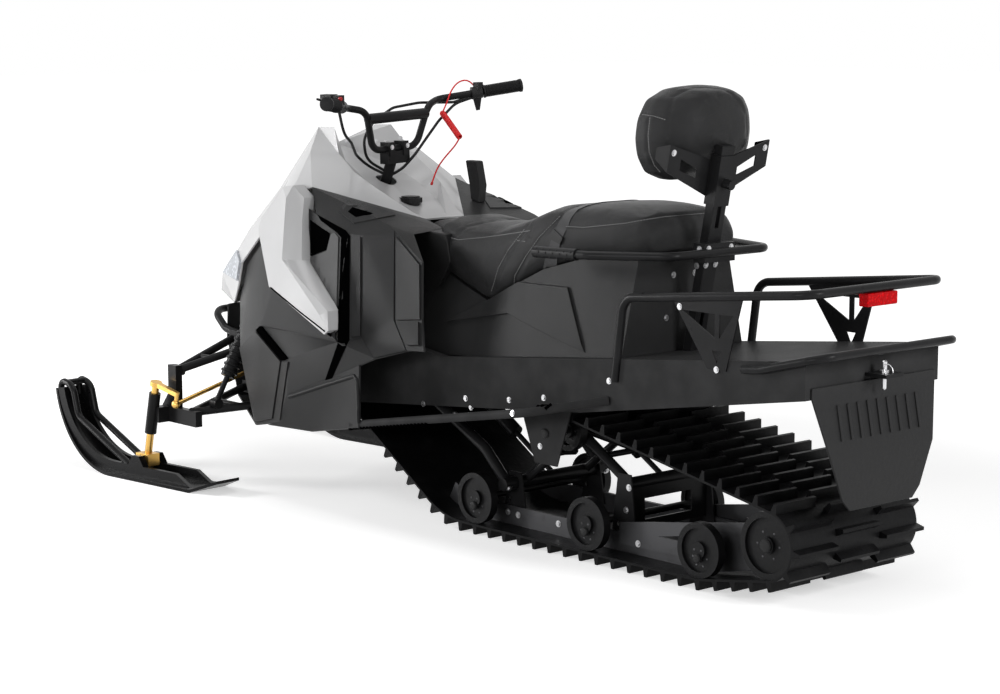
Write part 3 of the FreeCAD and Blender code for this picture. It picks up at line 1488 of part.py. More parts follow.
def make_rack():
    """The rear rack: one tube round three sides, legs at the front, and a cut sheet bracket each side."""
    half = (rack_width - rack_tube) / 2
    leg_foot = tunnel_top(rack_front_station) - rack_leg_lap
    line = [at(rack_front_station, half, leg_foot), at(rack_bend_station, half, rack_front_height),
            at(rack_rear_station, half, rack_rear_height), at(rack_rear_station, 0, rack_rear_height)]
    rail = pipe(line, rack_tube, rack_bend_radius)
    inner = tunnel_width / 2
    bracket_foot_height = tunnel_rear_height - bracket_foot_drop
    top_start = rack_height(bracket_top_start) - rack_tube / 4
    top_end = rack_height(bracket_top_end) - rack_tube / 4
    outline = [(bracket_top_start, top_start), (bracket_top_end, top_end),
               (bracket_foot_end, bracket_foot_height), (bracket_foot_start, bracket_foot_height)]
    bracket = side_plate(outline, inner, bracket_sheet)
    middle = (bracket_foot_start + bracket_foot_end) / 2
    rim = bracket_rim
    high = top_start - rack_tube
    windows = (
        [(bracket_top_start - 2 * rim, high), (middle + rim / 2, high), (middle + rim / 2, high - 4 * rim)],
        [(bracket_top_end + 2 * rim, high), (middle - rim / 2, high), (middle - rim / 2, high - 4 * rim)],
        [(middle + rim, high - 6 * rim), (middle - rim, high - 6 * rim), (middle, high - 8 * rim)],
    )
    for window in windows:
        bracket = bracket.cut(side_plate(window, inner - overrun, bracket_sheet + 2 * overrun))
    side = joined([rail, bracket])
    return joined([side, mirrored(side)])


def rack_height(station):
    """Height of the rack's side tube at a station."""
    share = (rack_bend_station - station) / (rack_bend_station - rack_rear_station)
    return rack_front_height + share * (rack_rear_height - rack_front_height)


def make_rear_bumper():
    """The low tube around the tunnel's rear end."""
    half = tunnel_width / 2 + bumper_rear_tube / 2
    rear_bumper_height = tunnel_rear_height + rear_bumper_rise
    line = [at(rear_bumper_start, half, tunnel_top(rear_bumper_start) - rear_bumper_drop),
            at(0, half, tunnel_top(0) - rear_bumper_drop),
            at(tunnel_rear_station - rear_bumper_reach, half, rear_bumper_height),
            at(tunnel_rear_station - rear_bumper_reach, 0, rear_bumper_height)]
    rail = pipe(line, bumper_rear_tube, rack_bend_radius)
    return joined([rail, mirrored(rail)])


def make_lamp():
    """The red tail lamp under the rack's rear bar."""
    top = rack_rear_height - rack_tube / 2
    return block(at(rack_rear_station - lamp_depth / 2, -lamp_width / 2, top - lamp_height),
                 at(rack_rear_station + lamp_depth / 2, lamp_width / 2, top))


def make_flap():
    """The snow flap behind the track, hung on the tunnel's rear wall, with upright ribs on its upper half."""
    rear = tunnel_rear_station
    flap_top_height = tunnel_rear_height - flap_top_drop
    hem = flap_top_height + flap_seam
    rows = (("hem", flap_top_half_width, hem, 0), ("top", flap_top_half_width, flap_top_height, 0),
            ("mid", flap_mid_half_width, flap_mid_height, flap_lean),
            ("low", flap_low_half_width, flap_low_height + flap_chamfer, flap_lean),
            ("foot", flap_low_half_width - flap_chamfer, flap_low_height, flap_lean))
    points = {}
    for name, half, height, lean in rows:
        points[name + " left"] = at(rear - lean, half, height)
        points[name + " right"] = at(rear - lean, -half, height)
    names = [row[0] for row in rows]
    facets = [(high + " left", high + " right", low + " right", low + " left")
              for high, low in zip(names, names[1:])]
    flap = faceted(points, facets, shifted(Vec(-flap_sheet, 0, 0)))
    drop = flap_top_height - flap_mid_height
    slope = flap_lean / drop
    outline = [(rear - flap_sheet / 2 - slope * flap_seam, flap_top_height - flap_seam),
               (rear - flap_sheet - flap_rib_depth - slope * flap_seam, flap_top_height - flap_seam),
               (rear - flap_sheet - flap_rib_depth - slope * (flap_seam + flap_rib_length),
                flap_top_height - flap_seam - flap_rib_length),
               (rear - flap_sheet / 2 - slope * (flap_seam + flap_rib_length),
                flap_top_height - flap_seam - flap_rib_length)]
    pitch = 2 * flap_low_half_width / (flap_ribs - 1)
    ribs = [side_plate(outline, index * pitch - flap_low_half_width - flap_rib_width / 2, flap_rib_width)
            for index in range(flap_ribs)]
    return joined([flap] + ribs)


def make_hitch():
    """The tow hitch: a lug plate with its pin, on the tunnel's rear wall."""
    height = tunnel_rear_height - flap_top_drop + flap_seam + hitch_sheet
    tongue = block(at(tunnel_rear_station - hitch_length, -hitch_width / 2, height),
                   at(tunnel_rear_station, hitch_width / 2, height + hitch_sheet))
    hole = rod(at(tunnel_rear_station - hitch_length / 2, 0, 0),
               at(tunnel_rear_station - hitch_length / 2, 0, body_height), hitch_pin_diameter)
    return tongue.cut(hole)


def make_gear_lever():
    """The drive selector: a stalk and a leaning hand-sized knob beside the console."""
    lean = math.tan(math.radians(gear_lever_lean))
    low = gear_lever_foot_height
    knee = low + gear_lever_stalk
    top = low + gear_lever_length
    half = gear_lever_depth / 2
    middle = gear_lever_station
    outline = [(middle - half / 2, low), (middle + half / 2, low), (middle + half, knee),
               (middle + half + lean * (top - knee), top), (middle + lean * (top - knee) - half, top),
               (middle - half, knee)]
    return side_plate(outline, gear_lever_across - gear_lever_width / 2, gear_lever_width)


def make_cap():
    """The fuel cap: a collar in the console and a lobed turning ring."""
    foot = at(cap_station, 0, cap_seat_height)
    top = foot + Vec(0, 0, cap_height)
    lobe_foot = top - Vec(0, 0, cap_lobe_height)
    pieces = [rod(foot, top, cap_collar_diameter),
              rod(lobe_foot, top - Vec(0, 0, cap_lobe_height / 4), cap_diameter - cap_lobe_diameter / 2)]
    ring = (cap_diameter - cap_lobe_diameter) / 2
    for lobe in range(cap_lobes):
        turn = 2 * math.pi * lobe / cap_lobes
        place = top + Vec(ring * math.cos(turn), ring * math.sin(turn), -cap_lobe_height)
        pieces.append(rod(place, place + Vec(0, 0, cap_lobe_height * crossbar_share), cap_lobe_diameter))
    return joined(pieces)


lens_facets = (("lamp top", "lamp tip", "band low", "band middle"),)


def make_headlamps():
    """The two headlamp lenses, each a folded plate on the hood's two side facets."""
    points = {name: body_point(share) for name, share in hood_shares.items()}
    top, tip, low, middle = (points[name] for name in lens_facets[0])
    fold = (top + low) * (1 / 2)
    out = (tip - top).cross(middle - top)
    out.normalize()
    corners = {name: fold + (points[name] - fold) * lens_size_share for name in lens_facets[0]}
    return pair(faceted(corners, lens_facets, shifted(out * lens_depth)))


def make_backrest_parts():
    """The backrest's sliding sleeve with its knob and two cut side arms, their ends folded forward."""
    up = post_up()
    forward = post_forward()
    low = sleeve_low()
    wall = 2 * (post_wall + running_gap)
    outer = post_box(post_depth + wall, post_width + wall, low, sleeve_length + sleeve_cap)
    bore = post_box(post_depth + 2 * running_gap, post_width + 2 * running_gap, low - up * overrun,
                    sleeve_length + sleeve_cap + 2 * overrun)
    middle = low + up * (sleeve_length / 2)
    rear = -forward * (post_depth / 2 + running_gap + post_wall / 2)
    knob = rod(middle + rear, middle + rear - forward * knob_length, knob_diameter)
    face = low + forward * (post_depth / 2 + running_gap + post_wall)
    half = post_width / 2
    end = backrest_half_width

    def place(across, rise):
        return face + Vec(0, across, 0) + up * rise

    def wing(side):
        inner_low = place(0, arm_low_rise)
        outer_low = place(side * end, arm_rise)
        outer_high = place(side * end, arm_rise + arm_end_height)
        inner_high = place(0, arm_rise + arm_low_rise)
        sheet = plate([inner_low, place(side * half, arm_low_rise), outer_low, outer_high, inner_high],
                      forward * -bracket_sheet)
        inset = half + arm_low_rise / 3
        corners = [place(side * inset, 2 * arm_low_rise), outer_low, outer_high, place(side * inset, arm_rise)]
        centre = (corners[0] + corners[1] + corners[2] + corners[3]) * (1 / 4)
        hole = [centre + (corner - centre) * arm_window_share for corner in corners]
        hole = [corner + forward * overrun for corner in hole]
        window = plate(hole, forward * -(bracket_sheet + 2 * overrun))
        fold = plate([outer_low, outer_high, outer_high + forward * arm_fold - up * (arm_end_height / 4),
                      outer_low + forward * arm_fold + up * (arm_end_height / 3)],
                     Vec(0, -side * bracket_sheet, 0))
        return [sheet.cut(window), fold]

    return joined([outer, knob] + wing(1) + wing(-1)).cut(bore)


def make_pad():
    """The backrest's pad as a body through egg-shaped sections from its rear to its front face."""
    rings = []
    for along, scale, middle_share in pad_section_shares:
        station = pad_rear_station + along * pad_depth
        middle = pad_low_height + middle_share * pad_height
        left = [at(station, wide * scale * pad_half_width, middle + (rise - 1 / 2) * scale * pad_height)
                for wide, rise in pad_outline_shares]
        rings.append(left + [at(point.x, -point.y, point.z) for point in reversed(left[1:])])
    return lofted(rings)


def make_grab_bar():
    """The passenger's grab bar, bent round the seat, with thick grips and a clamp on the post."""
    half = grab_half_width
    front = at(grab_front_station, half, grab_height - grab_drop)
    bend = at(grab_bend_station, half, grab_height - grab_drop / 2)
    line = [front, bend, at(grab_rear_station, grab_rear_half_width, grab_height),
            at(grab_rear_station, 0, grab_height)]
    rail = pipe(line, grab_tube, rack_bend_radius)
    grip = rod(front, front + (bend - front) * crossbar_share, grab_grip_diameter)
    foot = at(post_foot_station, 0, post_foot_height)
    centre = foot + post_up() * ((grab_height - foot.z) / math.cos(math.radians(post_lean)))
    clamp = block(at(grab_rear_station, -grab_clamp_half_width, grab_height - grab_clamp_height / 2),
                  at(centre.x, grab_clamp_half_width, grab_height + grab_clamp_height / 2))
    return joined([rail, grip, mirrored(rail), mirrored(grip), clamp])


nodes = {}


def build():
    """Every node's shape by name, in the order that pieces are cut by what they sit on."""
    tunnel_body, tunnel = make_tunnel()
    nodes["track"] = make_track()
    idlers = wheel_set(0, idler_axle_height, idler_diameter, outer_gauge)
    bogies = [wheel_set(s, bogie_axle_height, bogie_diameter, outer_gauge) for s in bogie_stations]
    carriers = wheel_set(carrier_station, carrier_axle_height, carrier_diameter, carrier_gauge)
    inner_reach = tunnel_width / 2 - tunnel_sheet
    carrier_axle = rod(at(carrier_station, -inner_reach, carrier_axle_height),
                       at(carrier_station, inner_reach, carrier_axle_height), wheel_axle_diameter)
    carriers = joined([carriers, carrier_axle])
    shaft = rod(at(sprocket_station, -tunnel_width / 2, sprocket_axle_height),
                at(sprocket_station, tunnel_width / 2, sprocket_axle_height), drive_shaft_diameter)
    drive = wheel_set(sprocket_station, sprocket_axle_height, sprocket_diameter, sprocket_gauge)
    sprockets = joined([drive, shaft])
    nodes["track_wheels"] = Part.makeCompound([idlers] + bogies + [carriers])
    nodes["drive_axle"] = sprockets
    front_arm = make_front_arm()
    rear_arm = make_rear_arm().cut(carrier_axle)
    arms = Part.makeCompound([front_arm, rear_arm])
    rails = make_rails()
    for axle in [idlers] + bogies:
        rails = rails.cut(axle)
    nodes["slide_rails"] = rails
    nodes["skid_arms"] = arms
    nodes["skid_brackets"] = Part.makeCompound([
        biggest(tower.cut(arms).cut(bogies[1]).cut(bogies[2]).cut(rails)) for tower in make_towers()])
    nodes["skid_shocks"] = make_skid_shocks(arms)
    hangers = make_hangers()
    nodes["tunnel"] = joined([tunnel] + hangers.Solids).cut(front_arm).cut(sprockets).cut(carriers)
    nodes["running_boards"] = Part.makeCompound([make_board(1), make_board(-1)])
    nodes["bulkhead"] = make_bulkhead()
    nodes["upper_frame"] = make_upper_frame()
    nodes["front_bumper"] = make_bumper(nodes["upper_frame"])
    nodes["engine"] = block(at(engine_rear_station, -engine_width / 2, engine_base_height),
                            at(engine_rear_station + engine_length, engine_width / 2,
                               engine_base_height + engine_height))
    nodes["steering_bearing"] = make_bearing()
    front_arms = [make_front_arms(side) for side in (1, -1)]
    nodes["front_arms"] = Part.makeCompound(front_arms)
    nodes["front_shocks"] = Part.makeCompound([biggest(make_front_shock(side).cut(arm))
                                               for side, arm in zip((1, -1), front_arms)])
    for side in (1, -1):
        name = side_name(side)
        nodes["ski_" + name] = make_ski(side)
        nodes["spindle_" + name] = make_spindle(side)
        nodes["tie_rod_" + name] = make_tie_rod(side)
    inward = shifted(Vec(-panel_wall / 2, -panel_wall, -panel_wall / 2))
    seat = make_seat()
    console = whole_panel(pod_shares, pod_facets, shifted(Vec(0, 0, -panel_wall)))
    hood = trimmed(whole_panel(hood_shares, hood_facets, drawn_in(hood_core_share)), console)
    panel = side_panel(side_panel_shares, side_panel_facets, 1, inward)
    panel = trimmed(panel, hood, console, nodes["front_shocks"])
    shroud = side_panel(shroud_shares, shroud_facets, 1, shifted(Vec(0, -shroud_depth, 0)))
    shroud = trimmed(shroud, panel, hood, console)
    knee = trimmed(side_panel(knee_shares, knee_facets, 1, inward), panel, shroud, console, seat)
    toe = side_panel(toe_shares, toe_facets, 1, inward)
    toe.translate(Vec(-seat_gap, -seat_gap, -seat_gap))
    toe = trimmed(toe, panel, knee, nodes["running_boards"])
    pan = whole_panel(pan_shares, pan_facets, drawn_in(pan_core_share))
    nodes["belly_pan"] = trimmed(pan, pair(panel), pair(toe), hood)
    nodes["side_panels"] = pair(panel)
    nodes["light_shrouds"] = pair(shroud)
    nodes["knee_panels"] = pair(knee)
    nodes["toe_guards"] = pair(toe)
    nodes["headlamps"] = make_headlamps()
    nodes["hood"] = hood
    post = make_post().cut(tunnel_body)
    nodes["seat"] = seat
    nodes["seat_base"] = make_seat_base().cut(post)
    nodes["backrest_post"] = post
    nodes["backrest_bracket"] = make_backrest_parts()
    nodes["backrest_pad"] = trimmed(make_pad(), nodes["backrest_bracket"], post)
    nodes["grab_bar"] = trimmed(make_grab_bar(), post)
    nodes["rear_rack"] = make_rack().cut(tunnel)
    nodes["rear_bumper"] = make_rear_bumper()
    nodes["tail_lamp"] = make_lamp().cut(nodes["rear_rack"])
    nodes["snow_flap"] = make_flap()
    nodes["hitch"] = make_hitch()
    bar = make_handlebar()
    nodes["handlebar"] = steering_turn(bar)
    nodes["grips"] = steering_turn(make_grips())
    controls = steering_turn(make_controls(bar))
    nodes["bar_controls"] = controls
    nodes["control_cables"] = Part.makeCompound([
        trimmed(steering_turn(cable), nodes["handlebar"], controls) for cable in make_cables()])
    nodes["tether_cord"], nodes["tether_coil"] = make_tether(controls)
    nodes["fuel_cap"] = make_cap()
    nodes["gear_lever"] = trimmed(make_gear_lever(), mirrored(knee), console)
    nodes["console"] = trimmed(console, nodes["fuel_cap"], steering_well())


build()
whole = Part.makeCompound(list(nodes.values()))
middle = (whole.BoundBox.XMin + whole.BoundBox.XMax) / 2
os.makedirs("parts", exist_ok=True)
for node_name, shape in nodes.items():
    moved = shape.copy()
    moved.translate(Vec(-middle, 0, 0))
    moved.exportStep("parts/" + node_name + ".step")
print("middle station", round(middle, 3), "size", whole.BoundBox)
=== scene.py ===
"""Dresses the packed snowmobile: finishes, bodywork, padded pieces, fittings, camera and studio."""
import json
import logging
import math
from dataclasses import dataclass, field
from enum import Enum
from typing import Any, ClassVar, Iterable, Optional, Sequence, Union

import bmesh
import bpy
import numpy as np
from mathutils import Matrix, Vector
from mathutils.bvhtree import BVHTree
from mathutils.geometry import delaunay_2d_cdt
from mathutils.kdtree import KDTree

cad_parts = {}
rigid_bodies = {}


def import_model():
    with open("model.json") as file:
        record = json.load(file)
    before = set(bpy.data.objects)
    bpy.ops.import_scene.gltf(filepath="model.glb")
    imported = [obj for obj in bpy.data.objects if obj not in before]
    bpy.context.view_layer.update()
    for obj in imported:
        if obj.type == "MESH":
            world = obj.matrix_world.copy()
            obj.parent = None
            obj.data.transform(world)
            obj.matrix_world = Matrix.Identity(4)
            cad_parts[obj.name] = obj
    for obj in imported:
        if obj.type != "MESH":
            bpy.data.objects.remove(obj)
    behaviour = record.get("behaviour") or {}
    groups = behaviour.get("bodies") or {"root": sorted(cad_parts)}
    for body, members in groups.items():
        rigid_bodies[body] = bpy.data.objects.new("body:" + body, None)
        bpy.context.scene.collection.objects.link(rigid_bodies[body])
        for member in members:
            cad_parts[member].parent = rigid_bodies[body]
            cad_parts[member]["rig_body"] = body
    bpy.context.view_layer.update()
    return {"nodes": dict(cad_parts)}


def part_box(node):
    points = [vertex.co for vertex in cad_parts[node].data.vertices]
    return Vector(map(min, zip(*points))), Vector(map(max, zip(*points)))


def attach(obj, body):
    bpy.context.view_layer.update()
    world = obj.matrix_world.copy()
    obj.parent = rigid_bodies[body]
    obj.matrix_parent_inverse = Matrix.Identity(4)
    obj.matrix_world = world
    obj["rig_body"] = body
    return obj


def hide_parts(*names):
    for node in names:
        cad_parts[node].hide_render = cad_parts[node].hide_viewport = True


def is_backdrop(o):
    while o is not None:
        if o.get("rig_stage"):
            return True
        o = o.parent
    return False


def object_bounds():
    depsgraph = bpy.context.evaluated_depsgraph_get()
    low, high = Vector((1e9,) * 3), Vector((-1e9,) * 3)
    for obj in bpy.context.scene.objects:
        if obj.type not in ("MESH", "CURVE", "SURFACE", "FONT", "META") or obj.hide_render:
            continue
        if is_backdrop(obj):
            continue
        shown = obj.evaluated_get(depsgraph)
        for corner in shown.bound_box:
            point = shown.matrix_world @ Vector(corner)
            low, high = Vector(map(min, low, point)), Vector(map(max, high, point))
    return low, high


log = logging.getLogger("snowmobile")
Colour = tuple[float, float, float]
Point = Sequence[float]
Route = Sequence[tuple[float, float]]
Spot = tuple[Vector, Vector]
Stand = tuple[Vector, Vector, Vector]
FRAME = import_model()
AXLE_STATION = 1.700
MIDDLE = AXLE_STATION - (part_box("drive_axle")[0].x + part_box("drive_axle")[1].x) / 2
MERGE = 1e-6
CAD_WELD = 2e-5
EDGE_FACES = 2
EDGE_ANGLE = math.radians(24.0)
CURVE_STEPS = 10
TUBE_ROUNDNESS = 4
OUTSIDE = 2.0
CAMERA_REACH = 6.5
UP = Vector((0.0, 0.0, 1.0))
DOWN = Vector((0.0, 0.0, -1.0))
LEFT = Vector((0.0, 1.0, 0.0))
AHEAD = Vector((1.0, 0.0, 0.0))
MIRROR = Vector((1.0, -1.0, 1.0))
SIDES = (1.0, -1.0)


def st(station: float, across: float, height: float) -> Vector:
    """A point from its station forward of the rear axle, its distance to the left and its height."""
    return Vector((station - MIDDLE, across, height))


def body_of(node: str) -> str:
    """The moving body that a CAD node belongs to."""
    return FRAME["nodes"][node]["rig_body"]


def points_of(node: str) -> np.ndarray:
    """A CAD node's points."""
    return np.array([tuple(vertex.co) for vertex in FRAME["nodes"][node].data.vertices])


# Node trees


class Sock:
    """A socket of a node tree that takes part in Python expressions."""

    def __init__(self, owner: "Nodes", link: bpy.types.NodeSocket) -> None:
        """Keeps the tree that owns the socket."""
        self.owner = owner
        self.link = link

    def maths(self, operation: str, other: Any = 0.0, flip: bool = False) -> "Sock":
        """One Math node on this value and another, which comes first when flip is set."""
        pair = (other, self) if flip else (self, other)
        return self.owner.node("ShaderNodeMath", {"operation": operation}, {0: pair[0], 1: pair[1]})

    def __add__(self, other: Any) -> "Sock":
        """Sum."""
        return self.maths("ADD", other)

    def __radd__(self, other: Any) -> "Sock":
        """Sum, reflected."""
        return self.maths("ADD", other)

    def __sub__(self, other: Any) -> "Sock":
        """Difference."""
        return self.maths("SUBTRACT", other)

    def __rsub__(self, other: Any) -> "Sock":
        """Difference, reflected."""
        return self.maths("SUBTRACT", other, True)

    def __mul__(self, other: Any) -> "Sock":
        """Product."""
        return self.maths("MULTIPLY", other)

    def __rmul__(self, other: Any) -> "Sock":
        """Product, reflected."""
        return self.maths("MULTIPLY", other)

    def above(self, low: float, high: float) -> "Sock":
        """A mask that is zero below low, one above high and smooth between."""
        return self.owner.node("ShaderNodeMapRange", {"interpolation_type": "SMOOTHSTEP"},
                               {"Value": self, "From Min": low, "From Max": high})


class Nodes:
    """A node tree under construction."""

    def __init__(self, tree: bpy.types.NodeTree) -> None:
        """Keeps the tree."""
        self.tree = tree

    def node(self, kind: str, settings: Optional[dict] = None, values: Optional[dict] = None,
             output: Union[int, str] = 0) -> Sock:
        """Adds a node.

        Args:
            kind: the node's type.
            settings: its properties, set first.
            values: numbers or sockets for its inputs, by name or place.
            output: which output is returned.
        Returns:
            The output, ready for expressions.
        """
        made = self.tree.nodes.new(kind)
        for key, value in (settings or {}).items():
            setattr(made, key, value)
        for key, value in (values or {}).items():
            if isinstance(value, Sock):
                self.tree.links.new(value.link, made.inputs[key])
            else:
                made.inputs[key].default_value = value
        return Sock(self, made.outputs[output])

    def direct(self) -> Sock:
        """Counts how a ray is seen: from the camera, by gloss or through glass.

        Returns:
            Zero for light that only fills.
        """
        rays = [self.node("ShaderNodeLightPath", output=f"Is {kind} Ray")
                for kind in ("Camera", "Glossy", "Transmission")]
        return rays[0] + rays[1] + rays[2]


class Shade(Nodes):
    """One material and its nodes."""

    def __init__(self, name: str) -> None:
        """Starts a material with its output.

        Args:
            name: the material's name.
        """
        self.material = bpy.data.materials.new(name)
        self.material.use_nodes = True
        super().__init__(self.material.node_tree)
        self.tree.nodes.clear()
        self.output = self.tree.nodes.new("ShaderNodeOutputMaterial")
        self.place = self.node("ShaderNodeTexCoord", output="Object")

    def end(self, shader: Sock) -> bpy.types.Material:
        """Ends the material in a shader."""
        self.tree.links.new(shader.link, self.output.inputs["Surface"])
        return self.material

    def noise(self, scale: float, detail: float = 3.0, stretch: Point = (1.0, 1.0, 1.0)) -> Sock:
        """Smooth noise of a scale per metre, with finer layers and a stretch, about 0.5 in the mean."""
        place = self.node("ShaderNodeMapping", {}, {"Vector": self.place, "Scale": tuple(stretch)})
        return self.node("ShaderNodeTexNoise", {}, {"Vector": place, "Scale": scale, "Detail": detail})

    def cells(self, scale: float, feature: str = "F1") -> Sock:
        """The distance that a cell pattern's feature gives, with that many cells per metre."""
        return self.node("ShaderNodeTexVoronoi", {"feature": feature}, {"Vector": self.place, "Scale": scale})

    def facing_up(self) -> Sock:
        """How far the surface faces upwards, from -1 to 1."""
        normal = self.node("ShaderNodeNewGeometry", output="Normal")
        return self.node("ShaderNodeSeparateXYZ", {}, {0: normal}, output="Z")

    def mixed(self, share: Any, first: Any, second: Any) -> Sock:
        """Mixes two colours.

        Args:
            share: the second colour's share.
            first: a colour or socket.
            second: a colour or socket.
        Returns:
            The mixed colour.
        """
        colours = [value if isinstance(value, Sock) else (*value[:3], 1.0) for value in (first, second)]
        return self.node("ShaderNodeMix", {"data_type": "RGBA"}, {0: share, 6: colours[0], 7: colours[1]}, 2)

    def bump(self, height: Sock, depth: float, under: Optional[Sock] = None) -> Sock:
        """A bump from a height.

        Args:
            height: the height, about 0 to 1.
            depth: its depth in metres.
            under: another bump below it.
        Returns:
            The normal.
        """
        values = {"Height": height, "Distance": depth, "Strength": 1.0}
        if under is not None:
            values["Normal"] = under
        return self.node("ShaderNodeBump", {}, values)

    def surface(self, **values: Any) -> bpy.types.Material:
        """Ends the material in the usual surface shader.

        Args:
            values: the shader's inputs, with underscores for spaces.
        Returns:
            The material.
        """
        inputs = {key.replace("_", " "): value for key, value in values.items()}
        inputs = {key: ((*value, 1.0) if isinstance(value, tuple) and len(value) == 3 else value)
                  for key, value in inputs.items()}
        return self.end(self.node("ShaderNodeBsdfPrincipled", {}, inputs))


def tinted(colour: Colour, factor: float = 1.0, lift: float = 0.0) -> Colour:
    """A colour times a factor and plus a lift, no brighter than white."""
    return tuple(min(1.0, channel * factor + lift) for channel in colour)


# Finishes


@dataclass(frozen=True)
class Plastic:
    """Moulded plastic: flat or gloss, with a fine grain, soft mottling and scuffs."""

    name: str
    colour: Colour
    roughness: float
    grain: float = 900.0
    grain_depth: float = 0.0002
    scuff: float = 0.04
    coat: float = 0.0
    specular: float = 0.24
    cloud: float = 0.82

    def build(self) -> bpy.types.Material:
        """Makes the material.

        Returns:
            The material, with its nodes.
        """
        shade = Shade(self.name)
        mottle = shade.noise(7.0, detail=4.0)
        speck = shade.noise(self.grain, detail=2.0)
        scuffs = shade.noise(60.0, detail=6.0, stretch=(1.0, 6.0, 3.0)).above(0.60, 0.74)
        worn, dark = tinted(self.colour, 1.5, self.scuff), tinted(self.colour, self.cloud)
        base = shade.mixed(mottle.above(0.35, 0.7), dark, self.colour)
        base = shade.mixed(scuffs * self.scuff * 4.0, base, worn)
        normal = shade.bump(speck, self.grain_depth)
        rough = self.roughness + mottle * 0.12 - 0.06 + scuffs * 0.08
        return shade.surface(Base_Color=base, Roughness=rough, Normal=normal, Coat_Weight=self.coat,
                             Coat_Roughness=0.12, Specular_IOR_Level=self.specular)


@dataclass(frozen=True)
class Coated:
    """Steel or alloy sheet and tube with a satin powder coat, worn brighter in places."""

    name: str
    colour: Colour
    roughness: float = 0.42
    peel: float = 420.0
    specular: float = 0.34

    def build(self) -> bpy.types.Material:
        """Makes the material.

        Returns:
            The material, with its nodes.
        """
        shade = Shade(self.name)
        mottle = shade.noise(11.0, detail=4.0)
        peel = shade.noise(self.peel)
        chips = shade.noise(140.0, detail=5.0).above(0.70, 0.76)
        worn, pale = tinted(self.colour, lift=0.03), tinted(self.colour, 1.35)
        base = shade.mixed(mottle.above(0.3, 0.75), self.colour, pale)
        base = shade.mixed(chips * 0.6, base, worn)
        return shade.surface(Base_Color=base, Roughness=self.roughness + mottle * 0.16 - 0.08,
                             Normal=shade.bump(peel, depth=0.00025), Specular_IOR_Level=self.specular)


@dataclass(frozen=True)
class Metal:
    """Bare or plated metal with drawn streaks and stains."""

    name: str
    colour: Colour
    roughness: float = 0.28
    stain: Colour = (0.16, 0.15, 0.14)

    def build(self) -> bpy.types.Material:
        """Makes the material.

        Returns:
            The material, with its nodes.
        """
        shade = Shade(self.name)
        streak = shade.noise(90.0, detail=4.0, stretch=(0.2, 1.0, 1.0))
        cloud = shade.noise(23.0, detail=4.0)
        base = shade.mixed(cloud.above(0.56, 0.78) * 0.6, self.colour, self.stain)
        rough = self.roughness + streak * 0.2 - 0.1 + cloud * 0.1
        normal = shade.bump(streak, depth=0.00015)
        return shade.surface(Base_Color=base, Metallic=0.95, Roughness=rough, Normal=normal)


@dataclass(frozen=True)
class Rubber:
    """Moulded rubber, matt, with a fine pebble and pale dust where it faces up."""

    name: str
    colour: Colour
    roughness: float = 0.62
    pebble: float = 520.0
    specular: float = 0.24

    def build(self) -> bpy.types.Material:
        """Makes the material.

        Returns:
            The material, with its nodes.
        """
        shade = Shade(self.name)
        cloud = shade.noise(19.0, detail=5.0)
        dust = cloud.above(0.52, 0.8) * shade.facing_up().above(0.0, 0.9)
        base = shade.mixed(dust * 0.4, self.colour, tinted(self.colour, lift=0.02))
        lumps = shade.bump(shade.noise(70.0), depth=0.0007)
        normal = shade.bump(shade.noise(self.pebble), depth=0.0004, under=lumps)
        return shade.surface(Base_Color=base, Roughness=self.roughness + cloud * 0.16 - 0.08 + dust * 0.1,
                             Normal=normal, Specular_IOR_Level=self.specular)


@dataclass(frozen=True)
class Leather:
    """Synthetic leather: a cell grain with fine creases, satin sheen."""

    name: str
    colour: Colour
    roughness: float = 0.40
    cell: float = 850.0

    def build(self) -> bpy.types.Material:
        """Makes the material.

        Returns:
            The material, with its nodes.
        """
        shade = Shade(self.name)
        cells = shade.cells(self.cell, "DISTANCE_TO_EDGE")
        crease = shade.noise(45.0, detail=6.0, stretch=(1.0, 0.6, 1.0))
        cloud = shade.noise(8.0)
        base = shade.mixed(cloud.above(0.35, 0.7), self.colour, tinted(self.colour, 1.5))
        grain = shade.bump(cells.above(0.0, 0.35), depth=0.00022, under=shade.bump(crease, depth=0.0012))
        return shade.surface(Base_Color=base, Roughness=self.roughness + cloud * 0.14 - 0.05, Normal=grain,
                             Sheen_Weight=0.0, Specular_IOR_Level=0.10)


@dataclass(frozen=True)
class Lens:
    """A moulded lamp lens with a grid of optics."""

    name: str
    colour: Colour
    cells: float = 130.0
    glow: float = 0.0

    def build(self) -> bpy.types.Material:
        """Makes the material.

        Returns:
            The material, with its nodes.
        """
        shade = Shade(self.name)
        cells = shade.cells(self.cells)
        base = shade.mixed(cells.above(0.15, 0.5), tinted(self.colour, 1.6), self.colour)
        return shade.surface(Base_Color=base, Roughness=0.22 + shade.noise(40.0) * 0.06,
                             Normal=shade.bump(cells, depth=0.0012), Specular_IOR_Level=0.05,
                             Emission_Color=self.colour, Emission_Strength=self.glow)


@dataclass(frozen=True)
class Webbing:
    """Woven strap with a rib across it."""

    name: str
    colour: Colour

    def build(self) -> bpy.types.Material:
        """Makes the material.

        Returns:
            The material, with its nodes.
        """
        shade = Shade(self.name)
        weave, cross = (
            shade.node("ShaderNodeTexWave", {"bands_direction": way},
                       {"Vector": shade.place, "Scale": ribs, "Distortion": 0.6})
            for way, ribs in (("Z", 160.0), ("X", 110.0)))
        height = weave * 0.6 + cross * 0.4
        base = shade.mixed(height, self.colour, tinted(self.colour, 1.9))
        normal = shade.bump(height, depth=0.0004)
        return shade.surface(Base_Color=base, Roughness=0.78, Normal=normal, Sheen_Weight=0.2)


